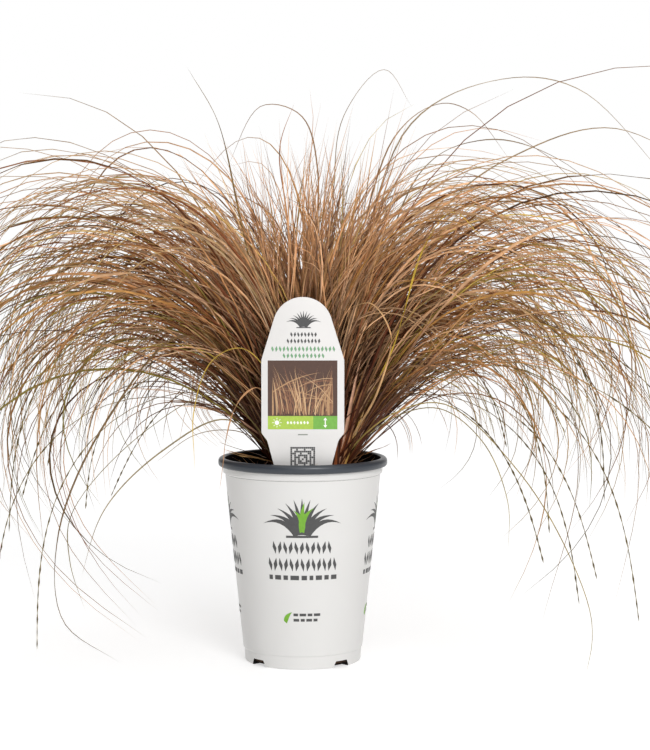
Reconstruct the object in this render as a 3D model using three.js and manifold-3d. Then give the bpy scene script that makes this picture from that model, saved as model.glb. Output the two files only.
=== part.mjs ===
// A sedge in a nursery pot: the pot, its potting mix, a plant label, and the plant itself as shoots.
// Each shoot is a sheath stub standing in its own hole in the mix, with its blades fused into it.
// Millimetres, +Z up. The origin is the middle of the pot's underside. The label faces -Y.
import * as THREE from "three";
import { mergeVertices } from "three/addons/utils/BufferGeometryUtils.js";
import Module from "manifold-3d";

const wasm = await Module();
wasm.setup();

// ---------------------------------------------------------------- driving dimensions

const GAP = 0.3; // clearance wherever one piece rests in or on another

const POT = {
  height: 138,
  rimRadius: 57, // the widest part of the rolled rim
  rimDepth: 6, // how far the rolled rim comes down
  collarRadius: 53.8, // the plain band under the rim
  collarDepth: 5,
  wallTopRadius: 52.4, // the tapered wall, just under the collar
  wallFootRadius: 40.4, // the same wall where it meets the foot band
  footRadius: 39.2,
  footHeight: 9.5,
  step: 0.8, // how far the wall steps in under the collar and at the foot band
  edge: 1.4, // how far corners are eased
  wall: 1.2,
  floor: 2.2,
  sides: 36,
};
const DRAIN = {
  count: 4,
  turn: THREE.MathUtils.degToRad(41.5), // heading of the first notch
  footWidth: 15,
  topWidth: 9.5,
  height: 4.5,
  innerRadius: 32,
};
const SOIL = {
  level: 123, // where the mix meets the pot wall
  mound: 1.5, // how much higher it is in the middle
};
const LABEL = {
  x: 0.5,
  y: -43,
  thickness: 0.8,
  top: 247,
  headRadius: 19.5,
  halfWidth: 27.1,
  shoulder: 205.9, // heights where the outline changes direction
  hip: 158,
  heel: 153.1,
  heelHalfWidth: 23.3,
  tip: 66,
};
const CROWN = {
  x: 6.6, // the clump stands a little off the pot's centre
  radius: 27,
  ring: 25.5, // where the outermost shoots stand
  shoots: 20,
  reach: 290, // no blade goes further than this to either side
  depth: 225, // or than this to front and back
  height: 400, // or stands higher than this
};
const STUB = { radius: 4, edge: 0.5, sunk: 14, proud: 7, sides: 8 };
const BLADE = {
  perShoot: 20,
  width: 1.6,
  thickness: 0.7,
  rooted: 5, // how deep a blade goes into its stub
  bendPerRing: THREE.MathUtils.degToRad(27),
  fewestRings: 3,
  mostRings: 7,
  tries: 500,
};
// The least air that a blade leaves.
const ROOM = {
  blade: 0.2, // to the blades of other shoots
  ownBlade: 0.1, // to those of its own shoot
  ground: 8,
  rim: 5,
  rimTop: 3,
  label: 3,
  face: 12, // beside the pot and over the label, for a blade in front of them
};
// How the blades grow. Angles are in degrees, from upright.
const GROWTH = {
  seed: 2,
  youngShare: 0.17, // short blades that still stand up in the middle
  longShare: 0.18, // blades that outgrow the rest and trail
  parting: 0.73, // under 1, the blades part to the left and right
  openFront: 0.75, // no full-grown blade heads for the label more squarely than this
  scatter: [15, 12], // how far headings stray, at the edge and in the middle
  lean: [0, 23], // at the root, in the middle of the crown and at its edge
  sideLean: 14, // how much more the blades to the left and right lean
  leanSpread: 7.6,
  length: 435,
  sideLength: 120, // what blades to the left and right have on top
  lengthRange: [0.39, 1.1],
  innerShort: 0.34, // how much shorter the middle of the crown is
  hang: 176, // at the tip of a blade that heads left or right
  hangSpread: 27,
  frontHang: 80, // how much less the blades to front and back hang over
  stiffness: [1.17, 1.45],
  innerStiffness: 0.15,
  drift: 14,
  long: { length: 1.61, hang: 28, stiffness: [0.68, 1.02] }, // factor, more degrees, factor
  young: { length: [195, 245], lean: 20, bend: 81 },
};

const STEPS = 8; // in which a stretch between two rings of a blade is worked out
const GOLDEN_ANGLE = Math.PI * (3 - Math.sqrt(5));
const { degToRad, lerp, clamp } = THREE.MathUtils;

// ---------------------------------------------------------------- solids

// A three.js geometry as a manifold-3d solid.
function solid(geometry) {
  const bare = geometry.clone();
  bare.deleteAttribute("normal");
  bare.deleteAttribute("uv");
  const merged = mergeVertices(bare, 1e-4);
  return new wasm.Manifold(
    new wasm.Mesh({
      numProp: 3,
      vertProperties: merged.attributes.position.array,
      triVerts: new Uint32Array(merged.index.array),
    }),
  );
}

function geometryOf(manifold) {
  const mesh = manifold.getMesh();
  const geometry = new THREE.BufferGeometry();
  geometry.setAttribute("position", new THREE.BufferAttribute(mesh.vertProperties, 3));
  geometry.setIndex(new THREE.BufferAttribute(mesh.triVerts, 1));
  return geometry;
}

// A profile of [radius, height] points turned about Z.
function turned(profile, sides) {
  const points = profile.map(([radius, height]) => new THREE.Vector2(radius, height));
  return solid(new THREE.LatheGeometry(points, sides).rotateX(Math.PI / 2));
}

// A flat shape drawn in X and Z, with its thickness along Y, centred on y = 0.
function upright(shape, thickness, curveSegments = 6) {
  const geometry = new THREE.ExtrudeGeometry(shape, {
    depth: thickness,
    bevelEnabled: false,
    curveSegments,
  });
  return geometry.translate(0, 0, -thickness / 2).rotateX(Math.PI / 2);
}

function polygon(points) {
  return new THREE.Shape(points.map(([x, y]) => new THREE.Vector2(x, y)));
}

// ---------------------------------------------------------------- pot

// The radius of the pot's outer wall at a height, between the foot band and the collar.
function wallRadius(height) {
  const top = POT.height - POT.rimDepth - POT.collarDepth;
  const share = (height - POT.footHeight) / (top - POT.footHeight);
  return lerp(POT.wallFootRadius, POT.wallTopRadius, share);
}

function drainNotch(heading) {
  const reach = POT.rimRadius - DRAIN.innerRadius;
  const outline = polygon([
    [-DRAIN.footWidth / 2, -1],
    [DRAIN.footWidth / 2, -1],
    [DRAIN.topWidth / 2, DRAIN.height],
    [-DRAIN.topWidth / 2, DRAIN.height],
  ]);
  const geometry = upright(outline, reach)
    .translate(0, DRAIN.innerRadius + reach / 2, 0)
    .rotateZ(heading - Math.PI / 2);
  return solid(geometry);
}

function pot() {
  const rimFoot = POT.height - POT.rimDepth;
  const collarFoot = rimFoot - POT.collarDepth;
  const inner = (height) => wallRadius(height) - POT.wall;
  let body = turned(
    [
      [0, 0],
      [POT.footRadius - POT.edge, 0],
      [POT.footRadius, POT.edge],
      [POT.wallFootRadius - POT.step, POT.footHeight - POT.step],
      [POT.wallFootRadius, POT.footHeight],
      [POT.wallTopRadius, collarFoot],
      [POT.collarRadius, collarFoot + POT.step],
      [POT.collarRadius, rimFoot],
      [POT.rimRadius - POT.edge, rimFoot],
      [POT.rimRadius, rimFoot + POT.edge],
      [POT.rimRadius, POT.height - POT.edge],
      [POT.rimRadius - POT.edge, POT.height],
      [POT.collarRadius, POT.height],
      [POT.collarRadius - POT.wall, POT.height - POT.edge],
      [POT.collarRadius - POT.wall, collarFoot],
      [inner(collarFoot), collarFoot - POT.step],
      [inner(POT.footHeight), POT.footHeight],
      [POT.footRadius - POT.wall, POT.floor],
      [0, POT.floor],
    ],
    POT.sides,
  );
  for (let i = 0; i < DRAIN.count; i++) {
    body = body.subtract(drainNotch(DRAIN.turn + (i * 2 * Math.PI) / DRAIN.count));
  }
  return body;
}

// ---------------------------------------------------------------- label

// The label's outline in X and Z. A margin grows it into the slot that its stake stands in.
function labelShape(margin = 0) {
  const { headRadius, halfWidth, heelHalfWidth } = LABEL;
  const headCentre = LABEL.top - headRadius;
  const flare = Math.atan2(halfWidth - headRadius, headCentre - LABEL.shoulder);
  const shape = new THREE.Shape();
  shape.moveTo(0, LABEL.tip - 3 * margin);
  shape.lineTo(heelHalfWidth + margin, LABEL.heel);
  shape.lineTo(halfWidth + margin, LABEL.hip);
  shape.lineTo(halfWidth + margin, LABEL.shoulder);
  shape.absarc(0, headCentre, headRadius + margin, flare, Math.PI - flare, false);
  shape.lineTo(-halfWidth - margin, LABEL.shoulder);
  shape.lineTo(-halfWidth - margin, LABEL.hip);
  shape.lineTo(-heelHalfWidth - margin, LABEL.heel);
  shape.closePath();
  return shape;
}

function label(margin = 0) {
  const geometry = upright(labelShape(margin), LABEL.thickness + 2 * margin, 12);
  return solid(geometry.translate(LABEL.x, LABEL.y, 0));
}

// ---------------------------------------------------------------- plant

// A seeded stream of numbers from 0 to 1 (mulberry32).
function randomStream(seed) {
  let state = seed >>> 0;
  return () => {
    state = (state + 0x6d2b79f5) >>> 0;
    let word = Math.imul(state ^ (state >>> 15), state | 1);
    word ^= word + Math.imul(word ^ (word >>> 7), word | 61);
    return ((word ^ (word >>> 14)) >>> 0) / 2 ** 32;
  };
}

// Where shoot number i of the crown stands.
function shootBase(i) {
  const radius = CROWN.ring * Math.sqrt((i + 0.5) / CROWN.shoots);
  const angle = i * GOLDEN_ANGLE;
  const x = CROWN.x + radius * Math.cos(angle);
  return new THREE.Vector3(x, radius * Math.sin(angle), SOIL.level);
}

// The shares of its length where a blade's mesh has a ring: closer together where it bends.
function ringShares(bend, stiffness) {
  const wanted = Math.ceil(bend / BLADE.bendPerRing);
  const count = clamp(wanted, BLADE.fewestRings, BLADE.mostRings);
  return Array.from({ length: count + 1 }, (_, i) => {
    const even = i / count;
    const evenBend = 0.5 - Math.sin(Math.asin(1 - 2 * even) / 3); // the inverse of smoothstep
    return lerp(even, evenBend ** (1 / stiffness), 0.5);
  });
}

// One blade as it would grow: where it leaves its stub, and how it leans, bends and hangs.
function drawBlade(base, number, random) {
  const bell = () => (random() + random() + random() - 1.5) * 2; // about a normal draw
  const spot = (STUB.radius - STUB.edge) * Math.sqrt((number + 0.5) / BLADE.perShoot);
  const turn = number * GOLDEN_ANGLE;
  const collar = base.clone();
  collar.add(new THREE.Vector3(spot * Math.cos(turn), spot * Math.sin(turn), STUB.proud));
  const outward = Math.hypot(collar.x - CROWN.x, collar.y) / CROWN.radius;
  const inward = 1 - outward;
  const young = random() < GROWTH.youngShare;
  const long = random() < GROWTH.longShare;

  // Blades part to the left and right of the crown.
  const stray = bell() * degToRad(lerp(...GROWTH.scatter, inward));
  const around = Math.atan2(collar.y, collar.x - CROWN.x) + stray;
  const parted = Math.atan2(GROWTH.parting * Math.sin(around), Math.cos(around));
  const heading = young ? random() * 2 * Math.PI : parted;
  const sideways = Math.cos(heading) ** 2;

  let lean = lerp(...GROWTH.lean, outward) + GROWTH.sideLean * sideways;
  lean += GROWTH.leanSpread * bell();
  let length = GROWTH.length + GROWTH.sideLength * sideways;
  length *= lerp(...GROWTH.lengthRange, random()) * (1 - GROWTH.innerShort * inward);
  let hang = GROWTH.hang + GROWTH.hangSpread * bell() - GROWTH.frontHang * (1 - sideways);
  let stiffness = lerp(...GROWTH.stiffness, random()) + GROWTH.innerStiffness * inward;
  if (long) {
    length *= GROWTH.long.length;
    hang += GROWTH.long.hang;
    stiffness *= lerp(...GROWTH.long.stiffness, random());
  }
  if (young) {
    length = lerp(...GROWTH.young.length, random());
    lean = GROWTH.young.lean * Math.abs(bell());
    hang = lean + GROWTH.young.bend * random();
  }
  const drift = degToRad(GROWTH.drift) * bell();
  const width = BLADE.width * lerp(0.75, 1.05, random());
  const shares = ringShares(degToRad(hang - lean), stiffness);
  return {
    collar,
    young,
    heading,
    lean: degToRad(lean),
    hang: degToRad(hang),
    length,
    stiffness,
    drift,
    width,
    shares,
  };
}

// How a blade runs at share t of its length: straight at first, then over and down.
function course(blade, t) {
  const eased = THREE.MathUtils.smoothstep(t ** blade.stiffness, 0, 1);
  const fromUp = lerp(blade.lean, blade.hang, eased);
  const heading = blade.heading + blade.drift * t * t;
  const flat = Math.sin(fromUp);
  return {
    along: new THREE.Vector3(
      flat * Math.cos(heading),
      flat * Math.sin(heading),
      Math.cos(fromUp),
    ),
    across: new THREE.Vector3(Math.sin(heading), -Math.cos(heading), 0),
  };
}

// The blade's centre line, with a point for each ring of its mesh. It starts inside the stub.
function centreLine(blade) {
  const point = blade.collar.clone().addScaledVector(course(blade, 0).along, -BLADE.rooted);
  const points = [point.clone()];
  for (let ring = 1; ring < blade.shares.length; ring++) {
    const [from, to] = [blade.shares[ring - 1], blade.shares[ring]];
    const stride = (blade.length * (to - from)) / STEPS;
    for (let step = 0; step < STEPS; step++) {
      const t = lerp(from, to, (step + 0.5) / STEPS);
      point.addScaledVector(course(blade, t).along, stride);
    }
    points.push(point.clone());
  }
  return points;
}

// Half the blade's width at share t: narrow in the sheath, widest low down, drawn out to the tip.
function halfWidth(blade, t) {
  return (blade.width / 2) * Math.min(1, 0.55 + 2.5 * t) * (1 - t ** 1.8);
}

// How far a blade reaches from its centre line, below it: two thirds of its triangle.
const keelDepth = (2 / 3) * BLADE.thickness;

// A three-sided cone of unit radius, laid along the centre line: flat above, keeled below.
function bladeSolid({ blade, points }) {
  const rings = blade.shares.length - 1;
  const cone = new THREE.ConeGeometry(1, 1, 3, rings, false, Math.PI / 3);
  const position = cone.attributes.position;
  const vertex = new THREE.Vector3();
  for (let i = 0; i < position.count; i++) {
    vertex.fromBufferAttribute(position, i);
    const ring = Math.round((vertex.y + 0.5) * rings);
    const t = blade.shares[ring];
    const { along, across } = course(blade, t);
    const over = new THREE.Vector3().crossVectors(across, along);
    const untaper = ring < rings ? rings / (rings - ring) : 0;
    const side = (vertex.x / Math.sin(Math.PI / 3)) * untaper * halfWidth(blade, t);
    const rise = vertex.z * untaper * keelDepth * Math.min(1, 1.5 - t);
    vertex.copy(points[ring]).addScaledVector(across, side).addScaledVector(over, rise);
    position.setXYZ(i, vertex.x, vertex.y, vertex.z);
  }
  return solid(cone);
}

// The shortest distance between two straight stretches, a to b and c to d.
function stretchDistance(a, b, c, d) {
  const u = new THREE.Vector3().subVectors(b, a);
  const v = new THREE.Vector3().subVectors(d, c);
  const w = new THREE.Vector3().subVectors(a, c);
  const [uu, uv, vv, uw, vw] = [u.dot(u), u.dot(v), v.dot(v), u.dot(w), v.dot(w)];
  const spread = uu * vv - uv * uv;
  let s = spread > 1e-9 ? clamp((uv * vw - vv * uw) / spread, 0, 1) : 0;
  const t = clamp((uv * s + vw) / vv, 0, 1);
  s = clamp((uv * t - uw) / uu, 0, 1);
  return w.addScaledVector(u, s).addScaledVector(v, -t).length();
}

// True where a blade keeps clear of the pot, the label and the mix, and within its reach.
function clearOfHolder(points) {
  for (let i = 1; i < points.length; i++) {
    for (let step = 0; step < STEPS; step++) {
      const p = points[i - 1].clone().lerp(points[i], (step + 1) / STEPS);
      const radius = Math.hypot(p.x, p.y);
      const low = p.z < POT.height + ROOM.rimTop;
      const pastWall = radius > POT.collarRadius - ROOM.rim;
      if (low && radius < POT.rimRadius + ROOM.rim && (pastWall || i > 1)) return false;
      if (p.z < ROOM.ground || p.z > CROWN.height) return false;
      if (Math.abs(p.y) > CROWN.depth) return false;
      if (Math.abs(p.x - CROWN.x) > CROWN.reach) return false;
      const besideLabel = Math.abs(p.x - LABEL.x) < LABEL.halfWidth + ROOM.label;
      const nearLabel = Math.abs(p.y - LABEL.y) < ROOM.label;
      if (besideLabel && nearLabel && p.z < LABEL.top + ROOM.label) return false;
      const inFront = p.y < LABEL.y && Math.abs(p.x) < POT.rimRadius + ROOM.face;
      if (inFront && p.z < LABEL.top + ROOM.face) return false;
    }
  }
  return true;
}

// True where a blade keeps clear of the blades already grown.
function clearOfBlades(candidate, grown) {
  for (const other of grown) {
    const air = other.shoot === candidate.shoot ? ROOM.ownBlade : ROOM.blade;
    for (let i = 1; i < candidate.points.length; i++) {
      for (let j = 1; j < other.points.length; j++) {
        const room = candidate.reach[i - 1] + other.reach[j - 1] + air;
        const [a, b] = [candidate.points[i - 1], candidate.points[i]];
        const [c, d] = [other.points[j - 1], other.points[j]];
        if (a.distanceTo(c) > a.distanceTo(b) + c.distanceTo(d) + room) continue;
        if (stretchDistance(a, b, c, d) < room) return false;
      }
    }
  }
  return true;
}

// True where a blade passes clear of the stubs of the other shoots.
function clearOfStubs(candidate, bases) {
  const top = new THREE.Vector3(0, 0, STUB.proud);
  const [a, b] = candidate.points;
  const room = STUB.radius + candidate.reach[0] + ROOM.blade;
  return bases.every((base, shoot) => {
    if (shoot === candidate.shoot) return true;
    return stretchDistance(a, b, base, base.clone().add(top)) > room;
  });
}

// Every blade of the plant, drawn again until it hangs clear of all that is already there.
function growBlades(bases) {
  const grown = [];
  for (let number = 0; number < BLADE.perShoot; number++) {
    for (let shoot = 0; shoot < bases.length; shoot++) {
      const random = randomStream(GROWTH.seed + 1000 * shoot + number);
      for (let attempt = 0; attempt < BLADE.tries; attempt++) {
        const blade = drawBlade(bases[shoot], number, random);
        const towardsLabel = -Math.sin(blade.heading) > GROWTH.openFront;
        if (towardsLabel && !blade.young) continue;
        const points = centreLine(blade);
        const reach = blade.shares.map((t) => Math.max(halfWidth(blade, t), keelDepth));
        const candidate = { shoot, blade, points, reach };
        if (!clearOfHolder(points) || !clearOfStubs(candidate, bases)) continue;
        if (!clearOfBlades(candidate, grown)) continue;
        grown.push(candidate);
        break;
      }
    }
  }
  return grown;
}

// The stub of leaf sheaths that a shoot's blades stand out of, as a solid or, grown by a
// margin, as the hole that it stands in.
function stub(base, margin = 0) {
  const depth = STUB.sunk + margin;
  const height = depth + STUB.proud;
  const radius = STUB.radius + margin;
  const geometry = new THREE.CylinderGeometry(radius, radius, height, STUB.sides);
  geometry.rotateX(Math.PI / 2).translate(base.x, base.y, base.z - depth + height / 2);
  return solid(geometry);
}

// ---------------------------------------------------------------- potting mix

function soil(bases) {
  const bottom = POT.floor + GAP;
  const inner = (height) => wallRadius(height) - POT.wall - GAP;
  let mix = turned(
    [
      [0, bottom],
      [POT.footRadius - POT.wall - 2 * GAP, bottom],
      [inner(POT.footHeight), POT.footHeight],
      [inner(SOIL.level), SOIL.level],
      [CROWN.radius, SOIL.level + SOIL.mound],
      [0, SOIL.level + SOIL.mound],
    ],
    POT.sides,
  );
  for (const base of bases) mix = mix.subtract(stub(base, GAP));
  return mix.subtract(label(GAP));
}

// ---------------------------------------------------------------- the whole object

const MATERIALS = {
  pot: new THREE.MeshStandardMaterial({ color: 0xe6e5e2, roughness: 0.38, metalness: 0 }),
  soil: new THREE.MeshStandardMaterial({ color: 0x2a1d15, roughness: 1, metalness: 0 }),
  label: new THREE.MeshStandardMaterial({ color: 0xf1f0ee, roughness: 0.5, metalness: 0 }),
  blade: new THREE.MeshStandardMaterial({ color: 0x8a6244, roughness: 0.55, metalness: 0 }),
};

function mesh(name, manifold, material) {
  const made = new THREE.Mesh(geometryOf(manifold), material);
  made.name = name;
  return made;
}

function sedge() {
  const bases = Array.from({ length: CROWN.shoots }, (_, i) => shootBase(i));
  const grown = growBlades(bases);
  const group = new THREE.Group();
  group.add(mesh("pot", pot(), MATERIALS.pot));
  group.add(mesh("soil", soil(bases), MATERIALS.soil));
  group.add(mesh("label", label(), MATERIALS.label));
  bases.forEach((base, i) => {
    const own = grown.filter((one) => one.shoot === i);
    const joined = own.reduce((sum, one) => sum.add(bladeSolid(one)), stub(base));
    group.add(mesh(`shoot_${String(i + 1).padStart(2, "0")}`, joined, MATERIALS.blade));
  });
  return group;
}

export default sedge();
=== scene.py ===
"""The looks of a carex sedge in its nursery pot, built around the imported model.

The pot, the potting mix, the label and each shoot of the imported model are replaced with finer
pieces of the same form. The classes hold their sizes in millimetres, and +Z is up.
"""

import logging
import math
from collections.abc import Callable, Iterable, Sequence
from dataclasses import dataclass, field, replace
from enum import Enum
from functools import lru_cache, partial

import bmesh
import bpy
import numpy as np
from mathutils import Matrix, Vector, noise


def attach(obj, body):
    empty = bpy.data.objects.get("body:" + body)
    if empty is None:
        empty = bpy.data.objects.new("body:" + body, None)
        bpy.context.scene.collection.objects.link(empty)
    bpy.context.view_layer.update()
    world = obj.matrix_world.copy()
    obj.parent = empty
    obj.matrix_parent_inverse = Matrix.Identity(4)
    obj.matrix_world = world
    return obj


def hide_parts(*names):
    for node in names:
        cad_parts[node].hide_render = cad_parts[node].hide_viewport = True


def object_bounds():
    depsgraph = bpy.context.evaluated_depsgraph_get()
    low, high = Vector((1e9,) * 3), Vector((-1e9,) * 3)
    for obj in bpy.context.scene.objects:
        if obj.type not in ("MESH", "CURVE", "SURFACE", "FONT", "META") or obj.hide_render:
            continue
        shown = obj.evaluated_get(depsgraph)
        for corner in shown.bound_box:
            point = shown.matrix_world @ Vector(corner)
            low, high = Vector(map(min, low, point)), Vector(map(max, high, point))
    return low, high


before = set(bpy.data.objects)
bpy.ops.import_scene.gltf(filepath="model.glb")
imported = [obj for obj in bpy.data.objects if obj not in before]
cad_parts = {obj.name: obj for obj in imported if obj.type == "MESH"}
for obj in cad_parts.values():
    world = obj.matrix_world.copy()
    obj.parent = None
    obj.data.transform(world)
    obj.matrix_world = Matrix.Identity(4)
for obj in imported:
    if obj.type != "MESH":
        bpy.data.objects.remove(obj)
CAD_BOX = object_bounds()

LOG = logging.getLogger("sedge")
MM = 0.001
BODY = "root"
BAKE_MAP = "OFBake"  # the UV map that a shoot's blades are laid out on, one strip each
TINT = "tint"  # the attribute that holds the colours of each leaf
GOLDEN_ANGLE = math.pi * (3 - math.sqrt(5))
TOUCH = 0.1  # points this near, in mm, count as level with each other
LITTER_TONES = ("a8805a", "8a6244", "6b4a30", "b8936a")

Array = np.ndarray
BMesh = bmesh.types.BMesh
BMVert = bmesh.types.BMVert
Mesh = bpy.types.Mesh
Object = bpy.types.Object
Socket = bpy.types.NodeSocket
Tree = bpy.types.NodeTree
Pair = tuple[float, float]
Round = tuple[float, int]  # the radius of a rounded corner, and how many edges it has
Rng = np.random.Generator
Run = tuple[Array, Array, Array]  # points, and the ways across and over there


# ---------------- small helpers


def lerp(pair: Pair, share: float) -> float:
    """The value at a share of the way from the pair's first number to its second."""
    return pair[0] + (pair[1] - pair[0]) * share


def clip01(values: Array) -> Array:
    """The values, none under 0 or over 1."""
    return np.clip(values, 0, 1)


def eased(shares: Array) -> Array:
    """Shares from 0 to 1 that start and end gently."""
    return shares * shares * (3 - 2 * shares)


def srgb(code: str) -> tuple[float, float, float, float]:
    """Turns an sRGB hex colour into the linear colour that shaders work in.

    Args:
        code: Six hex digits, such as "8a6244".

    Returns:
        Red, green, blue and an alpha of 1.
    """
    parts = [int(code[i : i + 2], 16) / 255 for i in (0, 2, 4)]
    linear = [p / 12.92 if p <= 0.04045 else ((p + 0.055) / 1.055) ** 2.4 for p in parts]
    return (*linear, 1.0)


def per_metre(size: float) -> float:
    """The scale that a texture on Object coordinates needs for features of this many mm."""
    return 1 / (size * MM)


def add(
    tree: Tree,
    kind: str,
    inputs: dict[str | int, object] | None = None,
    stops: Sequence[tuple[float, str]] = (),
    **settings: object,
) -> bpy.types.Node:
    """Adds a shader node with its settings and links.

    Args:
        tree: The node tree that it goes into.
        kind: Its type, without "ShaderNode" in front.
        inputs: By socket name or number, a value or the output socket of another node.
        stops: The positions and hex colours of a colour ramp.
        settings: The node's own properties.

    Returns:
        The node.
    """
    node = tree.nodes.new("ShaderNode" + kind)
    for name, value in settings.items():
        setattr(node, name, value)
    for key, value in (inputs or {}).items():
        if isinstance(value, Socket):
            tree.links.new(value, node.inputs[key])
        else:
            node.inputs[key].default_value = value
    for i, (position, colour) in enumerate(stops):
        ramp = node.color_ramp.elements
        stop = ramp[i] if i < 2 else ramp.new(position)
        stop.position = position
        stop.color = srgb(colour)
    return node


# ---------------- finishes


class Slot(Enum):
    """The record's material slots."""

    POT = "pot_plastic"
    MIX = "potting_mix"
    LABEL = "label_plastic"
    BLADE = "sedge_blade"


@dataclass(frozen=True)
class Surface:
    """A material's shader and the node tree that it is in, for a finish to dress."""

    tree: Tree
    shader: bpy.types.Node

    def noise(
        self, size: float, low: float = 0.0, high: float = 1.0, detail: float = 3.0
    ) -> Socket:
        """A soft random pattern through the material.

        Args:
            size: The size of its patches, in mm.
            low: What its darkest patches give.
            high: What its brightest patches give.
            detail: How many finer layers it has.

        Returns:
            The pattern's output socket.
        """
        place = add(self.tree, "TexCoord").outputs["Object"]
        inputs = {"Vector": place, "Scale": per_metre(size), "Detail": detail}
        pattern = add(self.tree, "TexNoise", inputs)
        ranged = {"Value": pattern.outputs["Fac"], "From Min": 0.3, "From Max": 0.7}
        ranged |= {"To Min": low, "To Max": high}
        return add(self.tree, "MapRange", ranged).outputs["Result"]

    def cover(
        self,
        first: object,
        second: object,
        share: object = 1.0,
        blend: str = "MULTIPLY",
        bumps: Socket | None = None,
        depth: float = 0.0,
    ) -> None:
        """Gives the shader a colour that is mixed of two, and a fine relief if it has one.

        Args:
            first: A colour, or the socket that gives it.
            second: The other one.
            share: How far the second one is blended in.
            blend: How they are mixed.
            bumps: The relief's pattern, if there is one.
            depth: The relief's depth, in mm.
        """
        inputs = {0: share, 6: first, 7: second}
        mixed = add(self.tree, "Mix", inputs, data_type="RGBA", blend_type=blend)
        self.tree.links.new(mixed.outputs[2], self.shader.inputs["Base Color"])
        if bumps is not None:
            relief = add(self.tree, "Bump", {"Height": bumps, "Distance": depth * MM})
            self.tree.links.new(relief.outputs["Normal"], self.shader.inputs["Normal"])


@dataclass(frozen=True)
class Finish:
    """A surface of one real material. Each kind of finish adds its own pattern in dress()."""

    name: str
    colour: str
    roughness: float
    ior: float = 1.5

    def material(self) -> bpy.types.Material:
        """The finish as a material, made the first time that it is asked for.

        Returns:
            The material.
        """
        found = bpy.data.materials.get(self.name)
        if found:
            return found
        material = bpy.data.materials.new(self.name)
        material.use_nodes = True
        material.diffuse_color = srgb(self.colour)
        tree = material.node_tree
        tree.nodes.clear()
        looks = {"Base Color": srgb(self.colour), "Roughness": self.roughness, "IOR": self.ior}
        shader = add(tree, "BsdfPrincipled", looks)
        add(tree, "OutputMaterial", {"Surface": shader.outputs["BSDF"]})
        self.dress(Surface(tree, shader))
        return material

    def dress(self, surface: Surface) -> None:
        """Adds the finish's own pattern. A plain finish has none."""


@dataclass(frozen=True)
class MouldedPlastic(Finish):
    """Formed plastic. Its gloss wavers a little, and it has a slight orange peel."""

    peel: float = 5.0  # the size of the orange peel's dimples
    peel_depth: float = 0.006
    mottle: float = 40.0  # the size of the cloudy patches in its colour
    mottle_depth: float = 0.025
    sheen: float = 30.0  # the size of the patches in its gloss

    def dress(self, surface: Surface) -> None:
        """Adds the clouding, the wavering gloss and the orange peel.

        Args:
            surface: What they go on.
        """
        clouds = surface.noise(self.mottle, 1 - self.mottle_depth)
        peel = surface.noise(self.peel, detail=1.0)
        surface.cover(srgb(self.colour), clouds, bumps=peel, depth=self.peel_depth)
        gloss = surface.noise(self.sheen, self.roughness * 0.9, self.roughness * 1.1)
        surface.tree.links.new(gloss, surface.shader.inputs["Roughness"])


@dataclass(frozen=True)
class PrintInk(Finish):
    """Screen-printed ink, a little uneven where it is thin."""

    patch: float = 1.6  # the size of its thin patches

    def dress(self, surface: Surface) -> None:
        """Adds the unevenness."""
        surface.cover(srgb(self.colour), surface.noise(self.patch, 0.9, 1.06))


@dataclass(frozen=True)
class Crumb(Finish):
    """Loose plant matter, such as peat or bark: patchy, rough and cracked."""

    light: str = "6b4a30"
    grain: float = 3.0
    crack_depth: float = 0.5

    def dress(self, surface: Surface) -> None:
        """Adds the patches of lighter fibre and the cracked relief.

        Args:
            surface: What they go on.
        """
        dark, light = srgb(self.colour), srgb(self.light)
        patches = surface.noise(self.grain, detail=6.0)
        cracks = surface.noise(self.grain / 3, detail=5.0)
        surface.cover(dark, light, patches, "MIX", cracks, self.crack_depth)


@dataclass(frozen=True)
class LeafSkin(Finish):
    """A sedge leaf: the colours along its length, painted shade at the root and painted light among
    them, a little mottled.
    """

    mottle: float = 7.0

    def dress(self, surface: Surface) -> None:
        """Adds the colours of each leaf and their mottling."""
        tint = add(surface.tree, "Attribute", attribute_name=TINT).outputs["Color"]
        surface.cover(tint, surface.noise(self.mottle, 0.72, 1.18))


@dataclass(frozen=True)
class LitTable(Finish):
    """White acrylic that is lit from below: it takes only the palest shadows."""

    glow: float = 0.53

    def dress(self, surface: Surface) -> None:
        """Adds the light from below."""
        surface.shader.inputs["Emission Color"].default_value = srgb("ffffff")
        surface.shader.inputs["Emission Strength"].default_value = self.glow


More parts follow.
